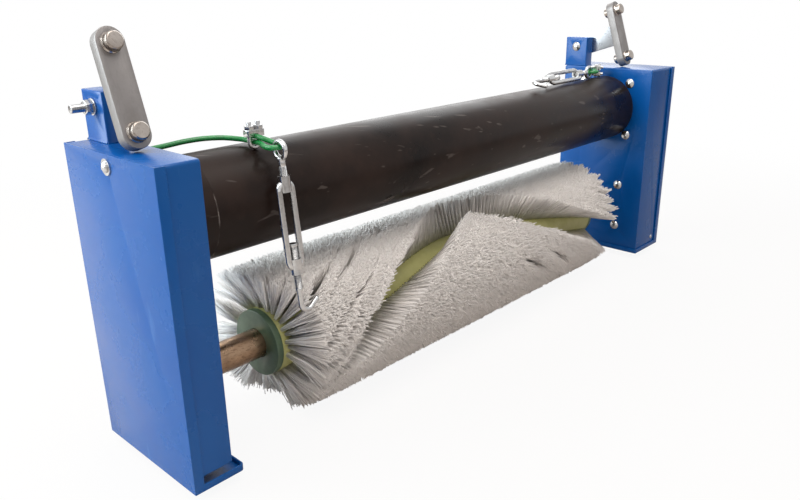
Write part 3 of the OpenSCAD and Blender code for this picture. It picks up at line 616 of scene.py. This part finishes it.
def brushSizes():
    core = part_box("brush_core")
    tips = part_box("left_bristle_rows")
    return {
        "start": core[0].x,
        "end": core[1].x,
        "axis": (core[0].z + core[1].z) / 2,
        "coreRadius": (core[1].y - core[0].y) / 2,
        "tipRadius": (tips[1].z - tips[0].z) / 2,
    }


brush = brushSizes()
brush["middle"] = (brush["start"] + brush["end"]) / 2


def aroundBrush(x, radius, degrees):
    angle = np.radians(degrees)
    return np.stack([x, -radius * np.cos(angle), brush["axis"] + radius * np.sin(angle)], axis=-1)


def rowAngle(x, start, look):
    twist = np.where(x < brush["middle"], *look["twist"])
    return look["gapAngle"] + start - twist * np.abs(x - brush["middle"])


def strandMesh(name, rings, radii, sides, tone):
    # closed prisms through three rings: root, half way, tip
    count = len(rings[0])
    phase = np.arange(count) * strandTurn
    along = rings[2] - rings[0]
    along /= np.linalg.norm(along, axis=1, keepdims=True)
    across = np.cross(along, np.array([1.0, 0.0, 0.0]))
    across /= np.linalg.norm(across, axis=1, keepdims=True)
    other = np.cross(along, across)
    points = np.zeros((count, 3, sides, 3))
    for level, ring in enumerate(rings):
        for side in range(sides):
            turn = phase + side * 2 * math.pi / sides
            offset = np.cos(turn)[:, None] * across + np.sin(turn)[:, None] * other
            points[:, level, side] = ring + radii[level] * offset
    walls = [[a * sides + s, a * sides + (s + 1) % sides, (a + 1) * sides + (s + 1) % sides,
              (a + 1) * sides + s] for a in range(2) for s in range(sides)]
    ends = [list(range(sides))[::-1], list(range(2 * sides, 3 * sides))]
    first = (np.arange(count) * 3 * sides)[:, None, None]
    faces = (np.array(walls)[None] + first).reshape(-1, 4).tolist()
    faces += (np.array(ends)[None] + first).reshape(-1, sides).tolist()
    mesh = bpy.data.meshes.new(name)
    mesh.from_pydata(points.reshape(-1, 3).tolist(), [], faces)
    values = {"tone": np.repeat(tone, 3 * sides),
              "rise": np.tile(np.repeat([0.0, 0.5, 1.0], sides), count)}
    for key, value in values.items():
        layer = mesh.attributes.new(key, 'FLOAT', 'POINT')
        layer.data.foreach_set("value", value.astype(np.float32))
    smooth = np.arange(len(mesh.polygons)) < count * len(walls)
    mesh.polygons.foreach_set("use_smooth", smooth)
    piece = bpy.data.objects.new(name, mesh)
    scene.collection.objects.link(piece)
    return piece


def tuftCentres(index, look):
    room = brush["end"] - brush["start"] - 2 * look["endSpace"]
    tufts = int(room / look["tuftPitch"])
    shift = look["stagger"] * (1 if index % 2 else -1)
    return brush["middle"] + look["tuftPitch"] * (np.arange(tufts) - (tufts - 1) / 2 + shift)


def nearEnds(x, look):
    # 1 at the left and the right end, 0 further in
    left = np.clip(1 - (x - brush["start"]) / look["endZone"], 0, 1)
    right = np.clip(1 - (brush["end"] - x) / look["endZone"], 0, 1)
    return left, right


def endShift(x, angle, look):
    # how far along X a tip leans at the brush's ends
    left, right = nearEnds(x, look)
    side = np.clip(look["sideSharp"] * np.cos(np.radians(angle - look["outAngle"])), -1, 1)
    fromLow = (angle - look["lowAngle"] + 180) % 360 - 180
    low = np.exp(-(fromLow / look["lowWidth"]) ** 2)
    inwards = (low * look["lowLean"]
               - side * np.where(side > 0, look["outLean"], look["inLean"]))
    comb = (look["combLean"] * np.clip(np.cos(np.radians(angle - look["combAngle"])), 0, 1)
            * np.clip((brush["end"] - x) / look["combFade"], 0, 1))
    return (left ** look["endPower"] * inwards + (1 - left) * comb
            + right ** look["endPower"] * look["rightLean"])


def strandRings(x, u, v, start, lean, swing, short, look):
    # u and v place a strand in its tuft, along X and round the core
    angle = rowAngle(x, start, look)
    rootX = x + u * look["rootAlong"]
    rootAngle = angle + v * math.degrees(look["rootAcross"] / brush["coreRadius"])
    shift = endShift(x, angle, look) + lean
    length = brush["tipRadius"] - brush["coreRadius"] - short - v ** 2 * look["ridge"]
    reach = np.sqrt(length ** 2 - (look["leanCost"] * shift) ** 2)
    tipX = x + u * look["tuftPitch"] / 2 * look["tipOverlap"] + shift
    finger = np.clip(1 - (brush["end"] - x) / look["fingers"], 0, 1) ** look["fingerPower"]
    fill = look["rowFill"] - (look["rowFill"] - look["endFill"]) * finger
    tipAngle = angle + v * look["rowPitch"] / 2 * fill + swing
    rings = []
    for part, depth in ((0, look["rootDepth"]), (0.5, 0), (1, 0)):
        rings.append(aroundBrush(rootX + part * (tipX - rootX),
                                 brush["coreRadius"] + part * reach - depth,
                                 rootAngle + part * (tipAngle - rootAngle)))
    return rings


def slowWave(x, look, rng):
    # slow sines with starts of their own, between -1 and 1
    starts = rng.uniform(0, 2 * math.pi, len(look["waves"]))
    return sum(share * np.sin(x * rate + start)
               for (share, rate), start in zip(look["waves"], starts))


def lineWaves(centre, look, rng):
    return np.stack([slowWave(centre, look, rng) for line in range(look["lines"])])


def gapLean(x, look):
    closed = np.clip((brush["middle"] - look["gapOpenFrom"] - x)
                     / (look["gapClosedAt"] - look["gapOpenFrom"]), 0, 1)
    return look["gapLean"] + closed * (look["gapClosed"] - look["gapLean"])


def gapDip(x, fromGap, look):
    away = (x - brush["middle"] - look["dipAt"]) / look["dipWidth"]
    return look["dip"] * max(0, 1 - fromGap / look["dipRows"]) * np.exp(-away ** 2)


def cleftSwing(index, x, look):
    # the rows beside a cleft lean apart, and those behind them less and less
    swing = np.zeros(len(x))
    for below, at, width, degrees in look["clefts"]:
        away = (x - brush["middle"] - at) / width
        behind = index - below - 1 if index > below else below - index
        side = 1 if index > below else -1
        swing += side * degrees * math.exp(-behind / look["cleftRows"]) * np.exp(-away ** 2)
    return swing


def bristleRow(index, start, gapSide, look, rng):
    # gapSide: -1 or 1 on a row beside the bare gap, and 0 on the others
    # u, v and shade place a strand along X, across its row and between short and long
    name = f"bristleRow{index + 1}"
    fromGap = look["bandRows"] - 1 - index % look["bandRows"]
    centre = tuftCentres(index, look)
    tufts = len(centre)
    lean = (rng.normal(0, look["tuftLean"], tufts)
            + look["waveLean"] * slowWave(centre, look, rng))
    swing = (rng.normal(0, look["tuftTwist"], tufts)
             + look["waveTwist"] * slowWave(centre, look, rng)
             + gapSide * gapLean(centre, look) - gapDip(centre, fromGap, look)
             + cleftSwing(index, centre, look))
    level, waving, own = look["lineShares"]
    short = look["lineShort"] * (level + waving * lineWaves(centre, look, rng)
                                 + own * rng.uniform(0, 1, (look["lines"], 1)))
    side = look["lineWave"] * lineWaves(centre, look, rng)
    tuftTone = rng.uniform(0, 1, tufts)
    each = np.repeat(np.arange(tufts), look["strands"])
    line = rng.integers(0, look["lines"], len(each))
    u, shade = rng.uniform(-1, 1, (2, len(each)))
    v = ((line + 0.5) * 2 / look["lines"] - 1 + side[line, each]
         + rng.normal(0, look["lineSpread"], len(each)))
    wild = (rng.uniform(0, 1, len(each)) < look["wildShare"]) * rng.normal(0, 1, len(each))
    ownLean = rng.normal(0, look["strandLean"], len(each)) + wild * look["wildLean"]
    rings = strandRings(centre[each], u, v, start, lean[each] + ownLean,
                        swing[each] + look["wildTwist"] * wild,
                        short[line, each] + shade ** 2 * look["uneven"], look)
    tone = look["tuftTone"] * tuftTone[each] + look["strandTone"] * (1 + shade)
    strands = strandMesh(name, rings, look["strandRadius"], look["strandSides"], tone)
    each = np.repeat(np.arange(tufts), look["bundles"])
    v = np.tile((np.arange(look["bundles"]) + 0.5) * 2 / look["bundles"] - 1, tufts)
    rings = strandRings(centre[each], 0, v * look["bundleSpan"], start, lean[each], swing[each],
                        look["bundleShort"], look)
    bundles = strandMesh(name + "Inner", rings, look["bundleRadius"], look["bundleSides"],
                         look["tuftTone"] * tuftTone[each] + look["bundleTone"])
    row = joinPieces(name, [strands, bundles])
    return finishPiece(row, name, "brush", materials["bristle_nylon"],
                       ["left_bristle_rows", "right_bristle_rows"])


def bristles(look):
    rng = np.random.default_rng(look["seed"])
    sector = 360 / look["bands"]
    spare = (sector - look["bandRows"] * look["rowPitch"]) / 2
    starts = []
    for band in range(look["bands"]):
        for number in range(look["bandRows"]):
            start = band * sector + spare + (number + 0.5) * look["rowPitch"]
            gapSide = {0: -1, look["bandRows"] - 1: 1}.get(number, 0)
            bristleRow(len(starts), start, gapSide, look, rng)
            starts.append(start)
    return starts


rowStarts = bristles(brushLook)
print("bristle rows:", len(rowStarts))


holeLook = {
    "radius": 2.6 * mm,
    "depth": 0.35 * mm,
    "sides": 12,
    "rim": 0.25,      # share of the radius
    "sunk": 0.6,      # share of the depth that its middle lies lower
    "proud": 0.05 * mm,
    "aside": 2.6,     # degrees from the tufts' middle into the gap
}


def tuftHoles(look, starts):
    # tuft holes of the rows beside the bare gap: shallow dents in a dark colour that is painted
    # shade
    bpy.ops.object.select_all(action='DESELECT')
    bpy.ops.mesh.primitive_cylinder_add(vertices=look["sides"], radius=look["radius"],
                                        depth=look["depth"])
    pattern = bpy.context.object
    bpy.ops.object.mode_set(mode='EDIT')
    bpy.ops.mesh.select_all(action='DESELECT')
    bpy.ops.object.mode_set(mode='OBJECT')
    for face in pattern.data.polygons:
        face.select = face.normal.z > 0.9
    bpy.ops.object.mode_set(mode='EDIT')
    bpy.ops.mesh.inset(thickness=look["radius"] * look["rim"], depth=0)
    bpy.ops.transform.translate(value=(0, 0, -look["depth"] * look["sunk"]))
    bpy.ops.object.mode_set(mode='OBJECT')
    shape = np.array([vertex.co for vertex in pattern.data.vertices])
    faces = [list(face.vertices) for face in pattern.data.polygons]
    bpy.data.objects.remove(pattern)
    points, allFaces = [], []
    perBand = brushLook["bandRows"]
    edgeRows = [index for index in range(len(starts)) if index % perBand in (0, perBand - 1)]
    for index in edgeRows:
        aside = look["aside"] * (-1 if index % perBand == 0 else 1)
        for x in tuftCentres(index, brushLook):
            turn = math.radians(float(rowAngle(x, starts[index], brushLook)) + aside)
            out = np.array([0, -math.cos(turn), math.sin(turn)])
            around = np.array([0, math.sin(turn), math.cos(turn)])
            centre = (np.array([x, 0, brush["axis"]])
                      + out * (brush["coreRadius"] + look["proud"]))
            placed = (centre + shape[:, :1] * np.array([1.0, 0, 0]) - shape[:, 1:2] * around
                      + shape[:, 2:3] * out)
            base = len(points)
            points.extend(placed.tolist())
            allFaces.extend([[base + corner for corner in face] for face in faces])
    mesh = bpy.data.meshes.new("tuftHoles")
    mesh.from_pydata(points, [], allFaces)
    holes = bpy.data.objects.new("tuftHoles", mesh)
    scene.collection.objects.link(holes)
    return finishPiece(holes, "tuftHoles", "brush", holeShade)


tuftHoles(holeLook, rowStarts)
print("tuft holes made")


# Ropes

ropeLook = {
    "radius": 4 * mm,
    "sides": 20,
    "steps": 6,               # between two points of the route
    "bareWire": 2.2 * mm,     # radius of the cut wire at the rope's end
    "bareSides": 12,
    "bareLength": 2 * mm,
    "bareHidden": 1 * mm,
}

# X from the housing's inner face, Y, and Z from the rope's hole
leftRoute = [
    (-0.026, 0.042, 0), (-0.012, 0.042, 0), (0.002, 0.042, 0), (0.018, 0.042, 0),
    (0.045, 0.042, 0.001), (0.075, 0.040, 0.003), (0.102, 0.033, 0.004),
    (0.126, 0.020, 0.0035), (0.143, 0.003, 0.0015), (0.151, -0.012, 0),
    (0.152, -0.020, -0.0005), (0.152, -0.028, -0.0005), (0.152, -0.036, -0.0005),
    (0.1495, -0.047, -0.0007), (0.144, -0.060, -0.0009), (0.1403, -0.070, -0.0011),
    (0.140, -0.076, -0.0012), (0.1435, -0.0845, -0.0012), (0.152, -0.088, -0.0012),
    (0.1605, -0.0845, -0.0012), (0.164, -0.076, -0.0012), (0.163, -0.068, 0),
    (0.159, -0.057, 0.003), (0.154, -0.046, 0.0065), (0.152, -0.036, 0.008),
    (0.152, -0.028, 0.008), (0.152, -0.020, 0.008), (0.152, -0.010, 0.0085),
]
rightRoute = [
    (-0.026, 0.042, 0), (-0.012, 0.042, 0), (0.002, 0.042, 0), (0.010, 0.0414, 0.0008),
    (0.020, 0.0375, 0.0038), (0.031, 0.031, 0.0072), (0.040, 0.0256, 0.0086),
    (0.048, 0.021, 0.009), (0.056, 0.0164, 0.009), (0.065, 0.0129, 0.0094),
    (0.073, 0.012, 0.0098), (0.079, 0.012, 0.0098), (0.0875, 0.0085, 0.0098),
    (0.091, 0, 0.0098), (0.0875, -0.0085, 0.0098), (0.079, -0.012, 0.0098),
    (0.070, -0.0105, 0.0098), (0.061, -0.0025, 0.0094), (0.052, 0.0089, 0.009),
    (0.044, 0.0135, 0.009), (0.036, 0.0181, 0.009), (0.028, 0.0222, 0.009),
]


def smoothRoute(route, steps):
    # the same curve through the points as the CAD tube's
    points = [Vector(point) for point in route]
    line = []
    for i in range(len(points) - 1):
        a, b = points[max(i - 1, 0)], points[i]
        c, d = points[i + 1], points[min(i + 2, len(points) - 1)]
        for k in range(steps):
            t = k / steps
            line.append(0.5 * (2 * b + (c - a) * t + (2 * a - 5 * b + 4 * c - d) * t * t
                               + (3 * b - a - 3 * c + d) * t ** 3))
    line.append(points[-1])
    return line


def tubeAlong(name, line, radius, sides):
    data = bpy.data.curves.new(name, 'CURVE')
    data.dimensions = '3D'
    data.bevel_depth = radius
    data.bevel_resolution = sides // 4
    data.use_fill_caps = True
    data.twist_mode = 'MINIMUM'
    spline = data.splines.new('POLY')
    spline.points.add(len(line) - 1)
    for point, place in zip(spline.points, line):
        point.co = (*place, 1)
    tube = bpy.data.objects.new(name, data)
    scene.collection.objects.link(tube)
    pick(tube)
    bpy.ops.object.convert(target='MESH')
    bpy.ops.object.mode_set(mode='EDIT')
    bpy.ops.mesh.select_all(action='SELECT')
    bpy.ops.mesh.remove_doubles(threshold=0.005 * mm)
    bpy.ops.mesh.normals_make_consistent(inside=False)
    bpy.ops.object.mode_set(mode='OBJECT')
    smoothByAngle(tube, 50)
    return tube


def rope(side, route, face, outward, look):
    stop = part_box(side + "_rope_stop")
    height = (stop[0].z + stop[1].z) / 2
    line = [Vector((face + outward * point.x, point.y, height + point.z))
            for point in smoothRoute(route, look["steps"])]
    coat = tubeAlong(side + "RopeCoat", line, look["radius"], look["sides"])
    finishPiece(coat, side + "RopeCoat", "frame", materials["rope_coat"],
                [side + "_rope"])
    way = (line[-1] - line[-2]).normalized()
    ends = [line[-1] - way * look["bareHidden"], line[-1] + way * look["bareLength"]]
    wire = tubeAlong(side + "RopeWire", ends, look["bareWire"], look["bareSides"])
    finishPiece(wire, side + "RopeWire", "frame", materials["zinc"])


rope("left", leftRoute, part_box("left_inner_box")[1].x, 1, ropeLook)
rope("right", rightRoute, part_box("right_inner_box")[0].x, -1, ropeLook)
print("ropes made")


# Screws of the turnbuckles: eye and hook with cut threads

turnbuckleLook = {
    # depths count down the screws from the middle of the eye
    "eyeDrop": 3.7 * mm,      # how far that hangs under the joint's axis
    "eyeRadius": 12 * mm,
    "eyeWire": 4 * mm,
    "eyeThread": (23 * mm, 56 * mm),
    "hookThread": (140 * mm, 212 * mm),
    "pitch": 1.75 * mm,
    "rootRadius": 5.1 * mm,
    "crestRadius": 5.9 * mm,
    "crest": (0.42, 0.58),    # where it starts and ends in a pitch
    "threadSteps": 22,
    # rods: upper and lower depth, radius, chamfer
    "weld": (10 * mm, 17.5 * mm, 6.3 * mm, 2.2 * mm),
    "neck": (13 * mm, 24 * mm, 5.8 * mm, 0.8 * mm),
    "collar": (140 * mm, 145 * mm, 6.8 * mm, 0.6 * mm),
    "shoulder": (209 * mm, 216 * mm, 5.9 * mm, 1.4 * mm),
    "hookStraight": (210 * mm, 228 * mm),
    "hookBend": 236 * mm,
    "hookRadius": 12 * mm,
    "hookWire": 4.5 * mm,
    "hookTurn": 128,
    "hookTip": 14 * mm,
    "hookSteps": 30,
    "wireSides": 20,
    "ringSides": 56,
    "rodSides": 40,
}


def threadedRod(name, span, look):
    # one pitch of the profile, screwed along Z and let down to its depth
    top, bottom = span
    pitch = look["pitch"]
    rise, fall = look["crest"]
    profile = [(look["rootRadius"], 0, 0), (look["crestRadius"], 0, pitch * rise),
               (look["crestRadius"], 0, pitch * fall), (look["rootRadius"], 0, pitch)]
    mesh = bpy.data.meshes.new(name)
    mesh.from_pydata(profile, [(0, 1), (1, 2), (2, 3)], [])
    rod = bpy.data.objects.new(name, mesh)
    scene.collection.objects.link(rod)
    screw = rod.modifiers.new("thread", 'SCREW')
    screw.angle = 2 * math.pi
    screw.screw_offset = pitch
    screw.iterations = round((bottom - top) / pitch) - 1
    screw.steps = look["threadSteps"]
    screw.render_steps = look["threadSteps"]
    screw.use_merge_vertices = True
    screw.merge_threshold = 0.01 * mm
    applyAll(rod)
    pick(rod)
    bpy.ops.object.mode_set(mode='EDIT')
    bpy.ops.mesh.select_all(action='SELECT')
    bpy.ops.mesh.remove_doubles(threshold=0.01 * mm)
    bpy.ops.mesh.select_all(action='DESELECT')
    bpy.ops.mesh.select_non_manifold()
    bpy.ops.mesh.fill_holes(sides=0)
    bpy.ops.mesh.select_all(action='SELECT')
    bpy.ops.mesh.normals_make_consistent(inside=False)
    bpy.ops.transform.translate(value=(0, 0, -bottom))
    bpy.ops.object.mode_set(mode='OBJECT')
    smoothByAngle(rod, 30)
    return rod


def plainRod(name, look):
    top, bottom, radius, chamfer = look[name]
    bpy.ops.object.select_all(action='DESELECT')
    bpy.ops.mesh.primitive_cylinder_add(vertices=look["rodSides"], radius=radius,
                                        depth=bottom - top,
                                        location=(0, 0, -(top + bottom) / 2))
    rod = bpy.context.object
    rod.name = name
    bevel = rod.modifiers.new("chamfer", 'BEVEL')
    bevel.width = chamfer
    bevel.segments = 2
    bevel.limit_method = 'ANGLE'
    applyAll(rod)
    settle(rod)
    smoothByAngle(rod, 40)
    return rod


def turnbucklePlace(side, roll):
    # from the turnbuckle's own frame, screws pointing down -Z, to the machine
    axis = Vector(joints[side + "_turnbuckle_turn"]["axis"])
    pivot = Vector(joints[side + "_turnbuckle_turn"]["pos_m"])
    if side == "left":
        turn = Matrix.Rotation(math.atan2(axis.y, -axis.z), 4, 'X')
    else:
        turn = Matrix.Rotation(math.pi / 2, 4, 'Y')
    return (Matrix.Translation(pivot) @ turn
            @ Matrix.Translation((0, 0, -turnbuckleLook["eyeDrop"]))
            @ Matrix.Rotation(math.radians(roll), 4, 'Z'))


def eyeScrew(side, roll, look):
    bpy.ops.object.select_all(action='DESELECT')
    bpy.ops.mesh.primitive_torus_add(major_radius=look["eyeRadius"], minor_radius=look["eyeWire"],
                                     major_segments=look["ringSides"],
                                     minor_segments=look["wireSides"],
                                     rotation=(0, math.pi / 2, 0))
    ring = bpy.context.object
    settle(ring)
    smoothByAngle(ring, 60)
    neck = plainRod("neck", look)
    thread = threadedRod("thread", look["eyeThread"], look)
    weld = plainRod("weld", look)
    screw = joinPieces(side + "EyeScrew", [ring, neck, thread, weld])
    screw.matrix_world = turnbucklePlace(side, roll)
    settle(screw)
    return finishPiece(screw, side + "EyeScrew", side + "_eye", materials["zinc"],
                       [side + "_eye_screw"])


def hookScrew(side, roll, look):
    thread = threadedRod("thread", look["hookThread"], look)
    collar = plainRod("collar", look)
    centre = Vector((look["hookRadius"], 0, -look["hookBend"]))
    line = [Vector((0, 0, -depth)) for depth in look["hookStraight"]]
    for step in range(look["hookSteps"] + 1):
        turn = math.radians(look["hookTurn"]) * step / look["hookSteps"]
        line.append(centre + look["hookRadius"] * Vector((-math.cos(turn), 0, -math.sin(turn))))
    bendEnd = line[-1]
    way = Vector((math.sin(turn), 0, -math.cos(turn)))
    for part in (0.5, 1.0):
        line.append(bendEnd + way * look["hookTip"] * part)
    wire = tubeAlong("hookWire", line, look["hookWire"], look["wireSides"])
    bpy.ops.object.select_all(action='DESELECT')
    bpy.ops.mesh.primitive_uv_sphere_add(segments=24, ring_count=14, radius=look["hookWire"],
                                         location=line[-1])
    end = bpy.context.object
    settle(end)
    smoothByAngle(end, 60)
    shoulder = plainRod("shoulder", look)
    screw = joinPieces(side + "HookScrew", [thread, collar, wire, end, shoulder])
    screw.matrix_world = turnbucklePlace(side, roll)
    settle(screw)
    return finishPiece(screw, side + "HookScrew", side + "_hook", materials["zinc"],
                       [side + "_hook_screw"])


eyeScrew("left", 0, turnbuckleLook)
hookScrew("left", 0, turnbuckleLook)
eyeScrew("right", 90, turnbuckleLook)
hookScrew("right", -75, turnbuckleLook)
print("turnbuckle screws made")


# Floor, background and lights

stageLook = {
    "floorSize": 60,
    "floorColour": (0.68, 0.64, 0.61),
    "floorWhite": 0.92,       # how much of the floor the camera sees as plain white
    "whiteFrom": 1.0,         # metres from the middle, where it starts to turn all white
    "whiteAt": 2.4,
    "worldColour": (1.0, 0.90, 0.84),
    "worldStrength": 0.34,
}


def whiteForCamera(tree, whiteRays, dull, white, share):
    # the camera, and what gloss and glass show it, see the share of white
    path = newNode(tree, 'ShaderNodeLightPath')
    seen = path.outputs["Is Camera Ray"]
    for ray in whiteRays:
        most = newNode(tree, 'ShaderNodeMath', operation='MAXIMUM')
        tree.links.new(seen, most.inputs[0])
        tree.links.new(path.outputs[ray], most.inputs[1])
        seen = most.outputs["Value"]
    part = newNode(tree, 'ShaderNodeMath', operation='MULTIPLY')
    if isinstance(share, bpy.types.NodeSocket):
        tree.links.new(share, part.inputs[1])
    else:
        part.inputs[1].default_value = share
    tree.links.new(seen, part.inputs[0])
    mix = newNode(tree, 'ShaderNodeMixShader')
    tree.links.new(part.outputs["Value"], mix.inputs["Fac"])
    tree.links.new(dull, mix.inputs[1])
    tree.links.new(white, mix.inputs[2])
    return mix.outputs["Shader"]


def addFloor(look):
    bpy.ops.object.select_all(action='DESELECT')
    bpy.ops.mesh.primitive_plane_add(size=look["floorSize"])
    floor = bpy.context.object
    floor.name = "floor"
    material = bpy.data.materials.new("floorWhite")
    material.use_nodes = True
    tree = material.node_tree
    tree.nodes.remove(tree.nodes["Principled BSDF"])
    dull = newNode(tree, 'ShaderNodeBsdfDiffuse', Color=(*look["floorColour"], 1))
    white = newNode(tree, 'ShaderNodeEmission', Color=(1, 1, 1, 1), Strength=1.0)
    place = newNode(tree, 'ShaderNodeTexCoord')
    away = newNode(tree, 'ShaderNodeVectorMath', operation='LENGTH')
    fade = newNode(tree, 'ShaderNodeMapRange', interpolation_type='SMOOTHSTEP',
                   From_Min=look["whiteFrom"], From_Max=look["whiteAt"],
                   To_Min=look["floorWhite"], To_Max=1.0)
    tree.links.new(place.outputs["Object"], away.inputs[0])
    tree.links.new(away.outputs["Value"], fade.inputs["Value"])
    out = whiteForCamera(tree, [], dull.outputs[0], white.outputs[0], fade.outputs["Result"])
    tree.links.new(out, tree.nodes["Material Output"].inputs["Surface"])
    floor.data.materials.append(material)


def addWorld(look):
    world = bpy.data.worlds.new("studio")
    world.use_nodes = True
    tree = world.node_tree
    dull = tree.nodes["Background"]
    dull.inputs["Color"].default_value = (*look["worldColour"], 1)
    dull.inputs["Strength"].default_value = look["worldStrength"]
    white = newNode(tree, 'ShaderNodeBackground', Color=(1, 1, 1, 1), Strength=1.0)
    out = whiteForCamera(tree, ["Is Glossy Ray", "Is Transmission Ray"], dull.outputs[0],
                         white.outputs[0], 1.0)
    tree.links.new(out, tree.nodes["World Output"].inputs["Surface"])
    scene.world = world


lamps = [
    # name, place, target, size, watts, colour
    ("keyLight", (-3.1, 1.7, 1.8), (0, 0, 0.3), 3.0, 198, (0.88, 0.97, 1.0)),
    ("topLight", (-0.5, -0.8, 3.0), (0, 0, 0.2), 2.2, 64, (1.0, 0.94, 0.89)),
    ("backLight", (2.5, 2.3, 2.3), (0, 0, 0.3), 3.2, 54, (1.0, 1.0, 1.0)),
    ("frontLight", (-1.2, -3.2, 1.2), (0, 0, 0.3), 2.0, 1, (1.0, 0.92, 0.86)),
]


def addLamp(name, place, target, size, watts, colour):
    data = bpy.data.lights.new(name, 'AREA')
    data.shape = 'SQUARE'
    data.size = size
    data.energy = watts
    data.color = colour
    lamp = bpy.data.objects.new(name, data)
    scene.collection.objects.link(lamp)
    way = Vector(target) - Vector(place)
    lamp.location = place
    lamp.rotation_euler = way.to_track_quat('-Z', 'Y').to_euler()
    lamp.visible_camera = False


addFloor(stageLook)
addWorld(stageLook)
for lamp in lamps:
    addLamp(*lamp)
print("stage lit")
